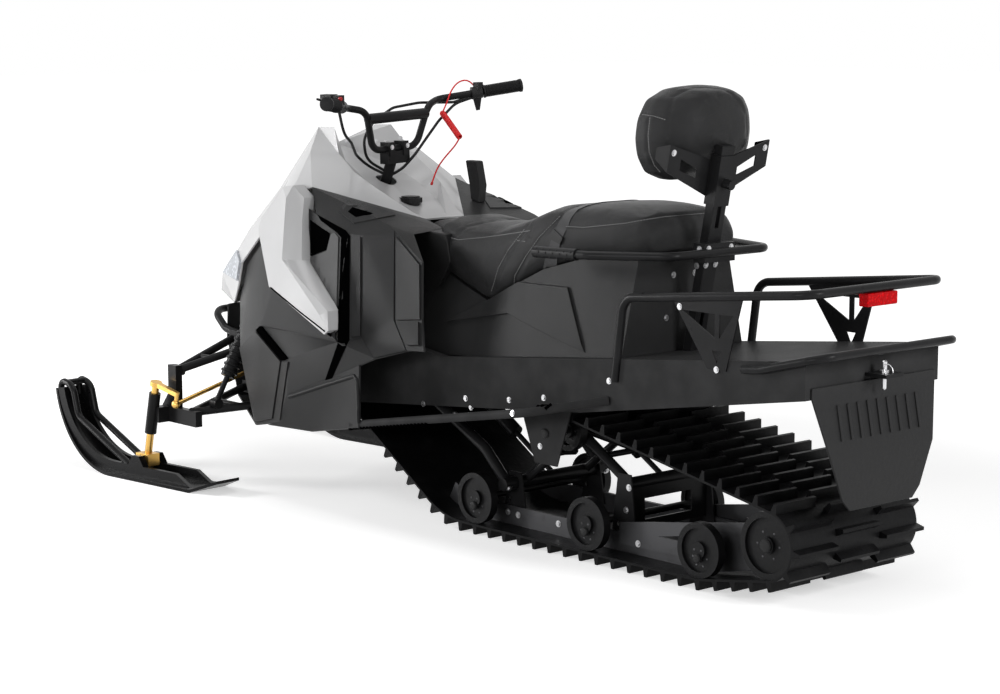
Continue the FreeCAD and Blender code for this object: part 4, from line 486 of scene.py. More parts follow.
FINISHES = {
    finish.name: finish for finish in (
        Plastic("light_plastic", (0.50, 0.50, 0.505), roughness=0.30, grain=1200.0, grain_depth=0.00003,
                scuff=0.004, coat=0.2, specular=0.35, cloud=0.97),
        Plastic("dark_plastic", (0.026, 0.026, 0.0265), roughness=0.33, grain_depth=0.0006,
                scuff=0.006, specular=0.07),
        # a darker grey than the pale plastic: painted shade on one facet of the pale bodywork
        Plastic("painted_shade_grey", (0.085, 0.085, 0.086), roughness=0.42, grain_depth=0.0006,
                scuff=0.006, specular=0.08),
        # a black without gloss: painted shade in panel gaps, recesses and the vent's hole, also used for the
        # running boards' tread bars
        Plastic("shade_and_tread_black", (0.0010, 0.0010, 0.0011), roughness=0.85, grain=300.0, grain_depth=0.0001,
                scuff=0.0, specular=0.0),
        Plastic("ski_plastic", (0.007, 0.007, 0.0075), roughness=0.26, grain=300.0, grain_depth=0.00012,
                scuff=0.02, specular=0.12),
        Plastic("red_plastic", (0.50, 0.010, 0.012), roughness=0.35, grain_depth=0.0001, scuff=0.0,
                coat=0.2),
        Coated("frame_black", (0.011, 0.011, 0.0115), roughness=0.30, specular=0.08),
        Coated("sheet_black", (0.031, 0.031, 0.0315), roughness=0.40, peel=700.0, specular=0.006),
        Coated("engine_grey", (0.10, 0.10, 0.105), roughness=0.55, peel=260.0, specular=0.2),
        Metal("rail_alloy", (0.06, 0.06, 0.063), roughness=0.42, stain=(0.03, 0.03, 0.03)),
        Metal("bright_steel", (0.52, 0.52, 0.53), roughness=0.26, stain=(0.22, 0.21, 0.20)),
        Metal("gold_steel", (0.72, 0.44, 0.12), roughness=0.28, stain=(0.34, 0.22, 0.08)),
        Rubber("track_rubber", (0.006, 0.006, 0.0064), roughness=0.36, specular=0.07),
        Rubber("flap_rubber", (0.022, 0.022, 0.0225), roughness=0.40, pebble=900.0, specular=0.08),
        Rubber("grip_rubber", (0.012, 0.012, 0.0125), roughness=0.50, pebble=1500.0, specular=0.12),
        Rubber("wheel_plastic", (0.009, 0.009, 0.0095), roughness=0.32, pebble=1100.0, specular=0.09),
        Rubber("cable_black", (0.010, 0.010, 0.0105), roughness=0.32, pebble=1400.0, specular=0.14),
        Rubber("tether_red", (0.62, 0.012, 0.014), roughness=0.34, pebble=1400.0),
        Plastic("thread_grey", (0.30, 0.30, 0.30), roughness=0.6, grain_depth=0.0001, scuff=0.0),
        Leather("seat_cover", (0.017, 0.017, 0.0175), roughness=0.34),
        Webbing("strap_web", (0.010, 0.010, 0.011)),
        Lens("lamp_red", (0.40, 0.002, 0.004), cells=120.0, glow=0.05),
        Lens("lamp_clear", (0.42, 0.44, 0.47), cells=70.0),
    )
}


class Paint:
    """Builds each finish once."""

    made: dict[str, bpy.types.Material] = {}

    @classmethod
    def of(cls, name: str) -> bpy.types.Material:
        """The material of that name.

        Args:
            name: the finish's name.
        Returns:
            Its material.
        """
        if name not in cls.made:
            cls.made[name] = FINISHES[name].build()
        return cls.made[name]


# Mesh making


def scratch(name: str, data: Any) -> bpy.types.Object:
    """A new object in the scene.

    Args:
        name: its name.
        data: its mesh, curve, lamp or camera.
    Returns:
        The object.
    """
    made = bpy.data.objects.new(name, data)
    bpy.context.scene.collection.objects.link(made)
    return made


def piece(name: str, mesh: bpy.types.Mesh, finish: str, body: str = "chassis") -> bpy.types.Object:
    """Shows a mesh as a finished piece that rides on a body.

    Args:
        name: the piece's name.
        mesh: its mesh, in place.
        finish: the finish's name.
        body: the body that it rides on.
    Returns:
        The object.
    """
    made = scratch(name, mesh)
    mesh.materials.clear()
    mesh.materials.append(Paint.of(finish))
    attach(made, body)
    return made


def from_bmesh(name: str, source: bmesh.types.BMesh, smooth_angle: Optional[float] = 35.0) -> bpy.types.Mesh:
    """Turns working geometry into a mesh.

    Args:
        name: the mesh's name.
        source: the geometry, freed here.
        smooth_angle: edges sharper than this many degrees stay sharp; None leaves it flat.
    Returns:
        The mesh.
    """
    mesh = bpy.data.meshes.new(name)
    if smooth_angle is not None:
        limit = math.radians(smooth_angle)
        for edge in source.edges:
            edge.smooth = len(edge.link_faces) == 2 and edge.calc_face_angle(0.0) < limit
        for face in source.faces:
            face.smooth = True
    source.to_mesh(mesh)
    source.free()
    return mesh


def from_faces(name: str, points: Iterable[Point], faces: Iterable[Sequence[int]],
               smooth_angle: float) -> bpy.types.Mesh:
    """A mesh from points and faces, with its faces turned outwards.

    Args:
        name: the mesh's name.
        points: its points.
        faces: its faces, as point numbers.
        smooth_angle: as in from_bmesh.
    Returns:
        The mesh.
    """
    work = bmesh.new()
    corners = [work.verts.new(point) for point in points]
    for face in faces:
        work.faces.new([corners[index] for index in face])
    bmesh.ops.remove_doubles(work, verts=work.verts, dist=MERGE)
    bmesh.ops.recalc_face_normals(work, faces=work.faces)
    return from_bmesh(name, work, smooth_angle)


def welded(node: str, flat: float = 0.6) -> bmesh.types.BMesh:
    """A CAD node's geometry with its points merged and its flat areas cleared of inner edges.

    Args:
        node: the node's name.
        flat: edges flatter than this many degrees go.
    Returns:
        The geometry.
    """
    work = bmesh.new()
    work.from_mesh(FRAME["nodes"][node].data)
    bmesh.ops.remove_doubles(work, verts=work.verts, dist=CAD_WELD)
    bmesh.ops.dissolve_limit(work, angle_limit=math.radians(flat), verts=work.verts, edges=work.edges)
    return work


def evaluated(made: bpy.types.Object, name: str) -> bpy.types.Mesh:
    """The plain mesh of an object with its modifiers, which is then removed.

    Args:
        made: the object.
        name: the mesh's name.
    Returns:
        The mesh.
    """
    mesh = bpy.data.meshes.new_from_object(made.evaluated_get(bpy.context.evaluated_depsgraph_get()))
    mesh.name = name
    bpy.data.objects.remove(made)
    return mesh


def bevelled(name: str, mesh: bpy.types.Mesh, width: float) -> bpy.types.Mesh:
    """Rounds a mesh's sharp edges.

    Args:
        name: the new mesh's name.
        mesh: the mesh.
        width: the rounding in metres.
    Returns:
        The rounded mesh.
    """
    made = scratch(name, mesh)
    round_off = made.modifiers.new("edges", "BEVEL")
    round_off.width, round_off.segments = width, EDGE_FACES
    round_off.limit_method, round_off.angle_limit = "ANGLE", EDGE_ANGLE
    round_off.harden_normals = True
    return evaluated(made, name)


def in_place_of(node: str, name: str, mesh: bpy.types.Mesh, finish: str) -> bpy.types.Object:
    """Shows a mesh in a CAD node's place and on its body.

    Args:
        node: the node's name.
        name: the piece's name.
        mesh: its mesh.
        finish: the finish's name.
    Returns:
        The piece.
    """
    made = piece(name, mesh, finish, body_of(node))
    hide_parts(node)
    return made


def line_of(points: Sequence[Point], order: int = 3, closed: bool = False) -> bpy.types.Curve:
    """A smooth curve through the neighbourhood of some points.

    Args:
        points: its control points.
        order: 2 for straight runs, 3 for smooth.
        closed: whether it is a ring.
    Returns:
        The curve.
    """
    curve = bpy.data.curves.new("line", "CURVE")
    curve.dimensions = "3D"
    spline = curve.splines.new("NURBS")
    spline.points.add(len(points) - 1)
    for slot, point in zip(spline.points, points):
        slot.co = (*point, 1.0)
    spline.order_u = order
    spline.use_endpoint_u = not closed
    spline.use_cyclic_u = closed
    spline.resolution_u = CURVE_STEPS
    return curve


def sweep(name: str, points: Sequence[Point], radius: float, order: int = 3,
          closed: bool = False) -> bpy.types.Mesh:
    """A round tube along a smooth line.

    Args:
        name: the mesh's name.
        points: the line's control points.
        radius: the tube's radius.
        order: as in line_of.
        closed: whether it is a ring.
    Returns:
        The mesh.
    """
    curve = line_of(points, order, closed)
    curve.bevel_depth, curve.bevel_resolution, curve.use_fill_caps = radius, TUBE_ROUNDNESS, not closed
    mesh = evaluated(scratch(name, curve), name)
    for polygon in mesh.polygons:
        polygon.use_smooth = True
    return mesh


def lathe(name: str, profile: Route, centre: Vector, axis: Vector, segments: int) -> bpy.types.Mesh:
    """A turned shape.

    Args:
        name: the mesh's name.
        profile: pairs of distance along the axis and radius.
        centre: where the axis starts.
        axis: the axis's direction.
        segments: faces round it.
    Returns:
        The mesh.
    """
    turn = axis.normalized().to_track_quat("Z", "Y")
    points, faces = [], []
    for along, radius in profile:
        for index in range(segments):
            angle = 2 * math.pi * index / segments
            points.append(centre + turn @ Vector((radius * math.cos(angle), radius * math.sin(angle), along)))
    for row in range(len(profile) - 1):
        for index in range(segments):
            step = (index + 1) % segments
            faces.append([row * segments + index, row * segments + step, (row + 1) * segments + step,
                          (row + 1) * segments + index])
    faces.append(list(range(segments)))
    faces.append([(len(profile) - 1) * segments + index for index in range(segments)])
    return from_faces(name, points, faces, smooth_angle=30.0)


def slab(name: str, outline: Sequence[Point], through: Vector, rounding: float) -> bpy.types.Mesh:
    """A plate from its outline and thickness, with rounded edges.

    Args:
        name: the mesh's name.
        outline: its corners.
        through: the thickness, as a vector.
        rounding: the rounding of its edges.
    Returns:
        The mesh.
    """
    count = len(outline)
    points = [Vector(point) for point in outline] + [Vector(point) + through for point in outline]
    faces = [list(range(count)), list(range(count, 2 * count))]
    for index in range(count):
        step = (index + 1) % count
        faces.append([index, step, count + step, count + index])
    return bevelled(name, from_faces(name, points, faces, smooth_angle=20.0), rounding)


def merged(name: str, meshes: Sequence[bpy.types.Mesh]) -> bpy.types.Mesh:
    """One mesh from several.

    Args:
        name: the mesh's name.
        meshes: the meshes.
    Returns:
        The merged mesh.
    """
    work = bmesh.new()
    for mesh in meshes:
        work.from_mesh(mesh)
    result = bpy.data.meshes.new(name)
    work.to_mesh(result)
    work.free()
    return result


# Repeated pieces


class Shape(Enum):
    """What is repeated at each point."""

    HEX_BOLT = "hex bolt with a washer"
    DOME = "round rivet head"
    STITCH = "short thread"
    BAR = "small block"


class Growth(Nodes):
    """A geometry group under construction, with its ends and its named inputs."""

    def __init__(self, name: str) -> None:
        """Starts the group.

        Args:
            name: the group's name.
        """
        super().__init__(bpy.data.node_groups.new(name, "GeometryNodeTree"))
        kinds = {"Geometry": "Geometry", "Radius": "Float", "Height": "Float", "Length": "Float",
                 "Finish": "Material"}
        for label, kind in kinds.items():
            self.tree.interface.new_socket(name=label, in_out="INPUT", socket_type="NodeSocket" + kind)
        self.tree.interface.new_socket(name="Geometry", in_out="OUTPUT", socket_type="NodeSocketGeometry")
        start = self.tree.nodes.new("NodeGroupInput")
        self.given = {label: Sock(self, start.outputs[label]) for label in kinds}
        self.result = self.tree.nodes.new("NodeGroupOutput").inputs[0]

    def turned(self, radius: Sock, height: Sock, sides: int) -> Sock:
        """A cylinder or a prism with that many sides."""
        values = {"Vertices": sides, "Radius": radius, "Depth": height}
        return self.node("GeometryNodeMeshCylinder", {}, values)


@dataclass
class Repeater:
    """Repeats a small shape at points that carry a direction and a run."""

    shape: Shape
    washer_reach: float = 1.45
    washer_share: float = 0.5
    head_share: float = 2.0
    dome_share: float = 0.55
    trees: ClassVar[dict[str, bpy.types.NodeTree]] = {}

    def unit(self, group: Growth) -> Sock:
        """Adds the nodes of the shape itself.

        Args:
            group: the group under construction.
        Returns:
            The shape's geometry.
        """
        radius, height, length = (group.given[label] for label in ("Radius", "Height", "Length"))
        if self.shape is Shape.HEX_BOLT:
            washer = group.turned(radius * self.washer_reach, height * self.washer_share, 14)
            head = group.turned(radius, height * self.head_share, 6)
            joined = group.node("GeometryNodeJoinGeometry", {}, {0: washer})
            group.tree.links.new(head.link, joined.link.node.inputs[0])
            return joined
        if self.shape is Shape.DOME:
            ball = group.node("GeometryNodeMeshUVSphere", {}, {"Segments": 12, "Rings": 6, "Radius": radius})
            values = {"Geometry": ball, "Scale": (1.0, 1.0, self.dome_share)}
            return group.node("GeometryNodeTransform", {}, values)
        if self.shape is Shape.STITCH:
            values = {"Geometry": group.turned(radius, length, 6), "Rotation": (0.0, math.pi / 2, 0.0)}
            return group.node("GeometryNodeTransform", {}, values)
        size = group.node("ShaderNodeCombineXYZ", {}, {0: length, 1: radius * 2.0, 2: height})
        return group.node("GeometryNodeMeshCube", {}, {"Size": size})

    def tree(self) -> bpy.types.NodeTree:
        """Builds the node tree of this shape.

        Returns:
            The tree, with inputs Radius, Height, Length and Finish.
        """
        group = Growth(self.shape.name.lower())
        kind = {"data_type": "FLOAT_VECTOR"}
        way, run = (group.node("GeometryNodeInputNamedAttribute", kind, {"Name": label})
                    for label in ("way", "run"))
        turn = group.node("FunctionNodeAlignRotationToVector", {"axis": "Z"}, {"Vector": way})
        turn = group.node("FunctionNodeAlignRotationToVector", {"axis": "X", "pivot_axis": "Z"},
                          {"Rotation": turn, "Vector": run})
        laid = group.node("GeometryNodeInstanceOnPoints", {},
                          {"Points": group.given["Geometry"], "Instance": self.unit(group), "Rotation": turn})
        real = group.node("GeometryNodeRealizeInstances", {}, {"Geometry": laid})
        painted = group.node("GeometryNodeSetMaterial", {},
                             {"Geometry": real, "Material": group.given["Finish"]})
        group.tree.links.new(painted.link, group.result)
        return group.tree

    def lay(self, name: str, spots: Sequence[Stand], finish: str, radius: float, height: float = 0.004,
            length: float = 0.01, body: str = "chassis") -> bpy.types.Object:
        """Lays the shape at each spot.

        Args:
            name: the piece's name.
            spots: for each, its place, the direction it stands in and the way it runs.
            finish: the finish's name.
            radius: half its width.
            height: its height.
            length: its length.
            body: the body that it rides on.
        Returns:
            The piece, as one plain mesh.
        """
        mesh = bpy.data.meshes.new(name)
        mesh.from_pydata([tuple(spot[0]) for spot in spots], [], [])
        for index, label in ((1, "way"), (2, "run")):
            layer = mesh.attributes.new(label, "FLOAT_VECTOR", "POINT")
            layer.data.foreach_set("vector", [value for spot in spots for value in spot[index].normalized()])
        made = scratch(name, mesh)
        key = self.shape.name
        if key not in Repeater.trees:
            Repeater.trees[key] = self.tree()
        tree = Repeater.trees[key]
        run = made.modifiers.new("repeat", "NODES")
        run.node_group = tree
        given = {"Radius": radius, "Height": height, "Length": length, "Finish": Paint.of(finish)}
        for item in tree.interface.items_tree:
            if item.in_out == "INPUT" and item.name in given:
                run[item.identifier] = given[item.name]
        result = evaluated(made, name)
        for label in ("way", "run"):
            if label in result.attributes:
                result.attributes.remove(result.attributes[label])
        return piece(name, result, finish, body)


# Places from the photograph


@dataclass(frozen=True)
class View:
    """The photograph's camera."""

    place: tuple[float, float, float] = (-3.95685, 4.69494, 1.53236)
    forward: tuple[float, float, float] = (0.7379, -0.6596, -0.1434)
    lens: float = 85.01
    sensor: float = 36.0
    picture: tuple[float, float] = (1000.0, 694.0)

    def ray(self, x: float, y: float) -> Vector:
        """The direction in which the camera sees a point of the picture.

        Args:
            x: pixels from the picture's left.
            y: pixels from its top.
        Returns:
            The direction.
        """
        forward = Vector(self.forward).normalized()
        right = forward.cross(UP).normalized()
        wide, high = self.picture
        focal = self.lens / self.sensor * wide
        way = forward * focal + right * (x - wide / 2) - right.cross(forward) * (y - high / 2)
        return way.normalized()

    def on_plane(self, x: float, y: float, across: float) -> Vector:
        """Where the camera's ray through a pixel meets the upright plane that lies that far to the left."""
        start, way = st(*self.place), self.ray(x, y)
        return start + way * ((across - start.y) / way.y)


VIEW = View()


class Surface:
    """The skins of some meshes, on which small pieces are laid."""

    def __init__(self, *sources: Union[str, bpy.types.Mesh]) -> None:
        """Gathers the skins.

        Args:
            sources: CAD nodes by name, or meshes.
        """
        work = bmesh.new()
        for source in sources:
            work.from_mesh(FRAME["nodes"][source].data if isinstance(source, str) else source)
        self.tree = BVHTree.FromBMesh(work)
        work.free()
        self.last = CAMERA_REACH

    def cast(self, start: Vector, way: Vector) -> Spot:
        """The first point of the skins along a line, or the nearest to where the last one lay.

        Args:
            start: where the line starts.
            way: its direction.
        Returns:
            The place and the outward normal there.
        """
        place, normal, _, distance = self.tree.ray_cast(start, way)
        if place is None:
            place, normal, _, _ = self.tree.find_nearest(start + way * self.last)
        else:
            self.last = distance
        return place, normal if normal.dot(way) < 0 else -normal

    def seen(self, x: float, y: float) -> Spot:
        """The place and the normal that the photograph shows at a pixel, from its left and its top."""
        return self.cast(st(*VIEW.place), VIEW.ray(x, y))

    def beside(self, station: float, height: float, side: float = 1.0) -> Spot:
        """The place and the normal that show straight from one side: 1 is the left, -1 the right."""
        return self.cast(st(station, OUTSIDE * side, height), Vector((0.0, -side, 0.0)))

    def over(self, first: Vector, last: Vector, count: int) -> list[Spot]:
        """That many places and normals along a line from first to last, cast down from above."""
        points = [first.lerp(last, index / (count - 1)) for index in range(count)]
        return [self.cast(Vector((point.x, point.y, OUTSIDE)), DOWN) for point in points]

    def along(self, route: Route, step: float = 4.0) -> list[Spot]:
        """Places and normals along a line of the picture, with its corners and spacing in pixels."""
        return [self.seen(x, y) for x, y in spaced(route, step)]


def spaced(route: Route, step: float) -> list[tuple[float, float]]:
    """Points along a line of straight runs.

    Args:
        route: its corners.
        step: the largest spacing.
    Returns:
        The points, the corners among them.
    """
    points = []
    for (x, y), (end_x, end_y) in zip(route, route[1:]):
        run_x, run_y = end_x - x, end_y - y
        count = max(1, math.ceil(math.hypot(run_x, run_y) / step))
        points += [(x + run_x * index / count, y + run_y * index / count) for index in range(count)]
    return points + [tuple(route[-1])]


def both_sides(name: str, meshes: Sequence[bpy.types.Mesh]) -> bpy.types.Mesh:
    """Some meshes and their mirror images as one.

    Args:
        name: the mesh's name.
        meshes: the meshes of one side.
    Returns:
        The mesh of both.
    """
    work = bmesh.new()
    for mesh in meshes:
        work.from_mesh(mesh)
    twin = bmesh.ops.duplicate(work, geom=work.verts[:] + work.edges[:] + work.faces[:])["geom"]
    for item in twin:
        if isinstance(item, bmesh.types.BMVert):
            item.co.y = -item.co.y
    bmesh.ops.reverse_faces(work, faces=[item for item in twin if isinstance(item, bmesh.types.BMFace)])
    return from_bmesh(name, work)


def mirrored_spots(spots: Sequence[Spot]) -> list[Spot]:
    """Places and normals of one side, then their mirror images."""
    return list(spots) + [(place * MIRROR, normal * MIRROR) for place, normal in spots]


def standing(spots: Sequence[Spot], run: Optional[Vector] = None) -> list[Stand]:
    """Each place and normal with the way it runs, or with any way across the normal."""
    return [(place, normal, normal.orthogonal() if run is None else run) for place, normal in spots]


def moved(route: Route, right: float = 0.0, down: float = 0.0) -> Route:
    """A line of the picture, moved by some pixels."""
    return [(x + right, y + down) for x, y in route]


def inlay(name: str, surface: Surface, outline: Route, lift: float, step: float = 5.0,
          depth: float = 0.002) -> bpy.types.Mesh:
    """A thin plate that follows a surface inside an outline of the picture.

    Args:
        name: the mesh's name.
        surface: what it lies on.
        outline: its corners in pixels.
        lift: how far it stands proud.
        step: the spacing of its points in pixels.
        depth: how far it is let in.
    Returns:
        The mesh.
    """
    border = spaced(list(outline) + [outline[0]], step)[:-1]
    low_x, high_x = min(x for x, _ in border), max(x for x, _ in border)
    low_y, high_y = min(y for _, y in border), max(y for _, y in border)
    inside = [(x, y) for x in np.arange(low_x + step, high_x, step)
              for y in np.arange(low_y + step, high_y, step) if encloses(border, x, y)]
    points = [Vector((float(x), float(y))) for x, y in border + inside]
    corners, _, faces, _, _, _ = delaunay_2d_cdt(points, [], [list(range(len(border)))], 1, 1e-3)
    spots = [surface.seen(corner.x, corner.y) for corner in corners]
    out = sum((normal for _, normal in spots), Vector()).normalized()
    top = [place + out * lift for place, _ in spots]
    low = [place - out * depth for place, _ in spots]
    count = len(top)
    used: dict[tuple[int, int], int] = {}
    for face in faces:
        for pair in zip(face, face[1:] + face[:1]):
            edge = tuple(sorted(pair))
            used[edge] = used.get(edge, 0) + 1
    walls = [[first, second, second + count, first + count]
             for (first, second), times in used.items() if times == 1]
    under = [[index + count for index in reversed(face)] for face in faces]
    return from_faces(name, top + low, list(faces) + under + walls, smooth_angle=30.0)


def ribbon(name: str, line: Sequence[Spot], width: float, thickness: float) -> bpy.types.Mesh:
    """A flat strap that lies along a line of places.

    Args:
        name: the mesh's name.
        line: the places under its middle, with their normals.
        width: its width.
        thickness: its thickness.
    Returns:
        The mesh.
    """
    points, faces = [], []
    for index, (place, normal) in enumerate(line):
        run = line[min(index + 1, len(line) - 1)][0] - line[max(index - 1, 0)][0]
        side = run.cross(normal).normalized() * (width / 2)
        for edge, lift in ((-1.0, -0.001), (1.0, -0.001), (1.0, thickness), (-1.0, thickness)):
            points.append(place + side * edge + normal * lift)
    for row in range(len(line) - 1):
        base = row * 4
        faces += [[base + index, base + (index + 1) % 4, base + 4 + (index + 1) % 4, base + 4 + index]
                  for index in range(4)]
    faces += [list(range(4)), list(range(len(points) - 4, len(points)))]
    return from_faces(name, points, faces, smooth_angle=40.0)


def encloses(border: Route, x: float, y: float) -> bool:
    """Whether a closed outline holds a point.

    Args:
        border: the outline.
        x: the point's first coordinate.
        y: its second.
    Returns:
        True inside it.
    """
    inside = False
    for (first_x, first_y), (last_x, last_y) in zip(border, list(border[1:]) + [border[0]]):
        if (first_y > y) != (last_y > y):
            inside ^= x < first_x + (last_x - first_x) * (y - first_y) / (last_y - first_y)
    return inside


def bead(name: str, surface: Surface, route: Route, radius: float, sink: float) -> bpy.types.Mesh:
    """A round strip that follows a surface along a line of the picture.

    Args:
        name: the mesh's name.
        surface: what it lies on.
        route: its corners in pixels.
        radius: its radius.
        sink: the share of the radius by which its middle lies below the surface.
    Returns:
        The mesh.
    """
    line = [place - normal * (radius * sink) for place, normal in surface.along(route)]
    return sweep(name, line, radius, 2)


# Sub-assemblies


@dataclass
class Shells:
    """The nodes that keep their CAD shape: what finish each has and how round its edges are."""

    flat: float = 0.1
    crease: float = 32.0
    rounded: dict[str, tuple[str, float]] = field(default_factory=lambda: {
        "side_panels": ("dark_plastic", 0.0040), "knee_panels": ("dark_plastic", 0.0045),
        "toe_guards": ("dark_plastic", 0.0030), "belly_pan": ("dark_plastic", 0.0030),
        "light_shrouds": ("light_plastic", 0.0040), "hood": ("light_plastic", 0.0024),
        "console": ("light_plastic", 0.0024), "seat_base": ("dark_plastic", 0.0080),
        "tunnel": ("sheet_black", 0.0010), "running_boards": ("sheet_black", 0.0008),
        "snow_flap": ("flap_rubber", 0.0016), "gear_lever": ("dark_plastic", 0.0050),
        "fuel_cap": ("dark_plastic", 0.0015), "headlamps": ("lamp_clear", 0.0015),
        "tail_lamp": ("lamp_red", 0.0030), "backrest_post": ("frame_black", 0.0020),
        "backrest_bracket": ("frame_black", 0.0010), "upper_frame": ("frame_black", 0.0010),
        "bulkhead": ("frame_black", 0.0010), "engine": ("engine_grey", 0.0060),
        "bar_controls": ("dark_plastic", 0.0015), "hitch": ("frame_black", 0.0010),
        "control_cables": ("cable_black", 0.0004),
    })
    smoothed: dict[str, str] = field(default_factory=lambda: {
        "track": "track_rubber", "track_wheels": "wheel_plastic", "drive_axle": "wheel_plastic",
        "slide_rails": "rail_alloy", "skid_arms": "frame_black", "skid_brackets": "frame_black",
        "skid_shocks": "frame_black", "front_arms": "frame_black", "front_shocks": "frame_black",
        "front_bumper": "frame_black", "grab_bar": "frame_black", "rear_rack": "frame_black",
        "rear_bumper": "frame_black", "handlebar": "frame_black",
        "steering_bearing": "frame_black", "ski_left": "ski_plastic", "ski_right": "ski_plastic",
        "spindle_left": "gold_steel", "spindle_right": "gold_steel", "tie_rod_left": "gold_steel",
        "tie_rod_right": "gold_steel",
    })

    def build(self) -> None:
        """Dresses each node."""
        for node, (finish, width) in self.rounded.items():
            mesh = bevelled(node + "_shell", from_bmesh(node, welded(node)), width)
            in_place_of(node, node + "_shell", mesh, finish)
            log.info("rounded %s", node)
        for node, finish in self.smoothed.items():
            mesh = from_bmesh(node + "_skin", welded(node, self.flat), self.crease)
            in_place_of(node, node + "_skin", mesh, finish)
            log.info("smoothed %s", node)


@dataclass
class Tether:
    """The red safety cord: a lead, its curly stretch and a lead, on one spline."""

    high: Sequence[Point] = ((1.752, -0.303, 1.270), (1.762, -0.288, 1.296), (1.786, -0.262, 1.292),
                             (1.782, -0.226, 1.264), (1.775, -0.203, 1.226), (1.768, -0.177, 1.194))
    low: Sequence[Point] = ((1.629, -0.130, 1.123), (1.640, -0.120, 1.097), (1.664, -0.104, 1.066),
                            (1.682, -0.089, 1.036), (1.690, -0.078, 1.006), (1.692, -0.068, 0.978))
    diameter: float = 0.005
    reach: float = 0.0077
    pitch: float = 0.0055
    turn_points: int = 12
    roundness: int = 3
    curve_steps: int = 4
    clip_profile: Route = ((-0.006, 0.0030), (-0.004, 0.0042), (0.003, 0.0042), (0.005, 0.0030))
    clip_sink: float = 0.001

    def helix(self, first: Vector, last: Vector) -> list[Vector]:
        """The curly stretch's control points.

        Args:
            first: the middle of its first turn.
            last: the middle of its last turn.
        Returns:
            The points.
        """
        axis = (last - first).normalized()
        side = axis.orthogonal().normalized()
        other = axis.cross(side)
        turns = round((last - first).length / self.pitch)
        count = turns * self.turn_points
        points = []
        for index in range(count + 1):
            angle = 2 * math.pi * index / self.turn_points
            reach = self.reach * min(1.0, 2.0 * min(index, count - index) / self.turn_points)
            out = side * math.cos(angle) + other * math.sin(angle)
            points.append(first.lerp(last, index / count) + out * reach)
        return points

    def build(self) -> None:
        """Makes the cord and the clip at its end."""
        high, low = [st(*point) for point in self.high], [st(*point) for point in self.low]
        curve = line_of(high[:-1] + self.helix(high[-1], low[0]) + low[1:])
        curve.bevel_depth, curve.bevel_resolution = self.diameter / 2, self.roundness
        curve.resolution_u, curve.use_fill_caps = self.curve_steps, True
        curve.materials.append(Paint.of("tether_red"))
        cord = scratch("tether", curve)
        body = body_of("handlebar")
        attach(cord, body)
        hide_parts("tether_cord", "tether_coil")
        way = (low[-1] - low[-2]).normalized()
        clip = lathe("tether_clip", self.clip_profile, low[-1] - way * self.clip_sink, way, segments=16)
        end = piece("tether_clip", clip, "red_plastic", body)
        length = self.length(curve)
        log.info("tether %.3f m", length)

    def length(self, curve: bpy.types.Curve) -> float:
        """The measured length of the cord.

        Args:
            curve: its curve.
        Returns:
            The length in metres.
        """
        plain = curve.copy()
        plain.bevel_depth = 0.0
        mesh = evaluated(scratch("tether_line", plain), "tether_line")
        total = sum((mesh.vertices[edge.vertices[0]].co - mesh.vertices[edge.vertices[1]].co).length
                    for edge in mesh.edges)
        return round(total, 2)


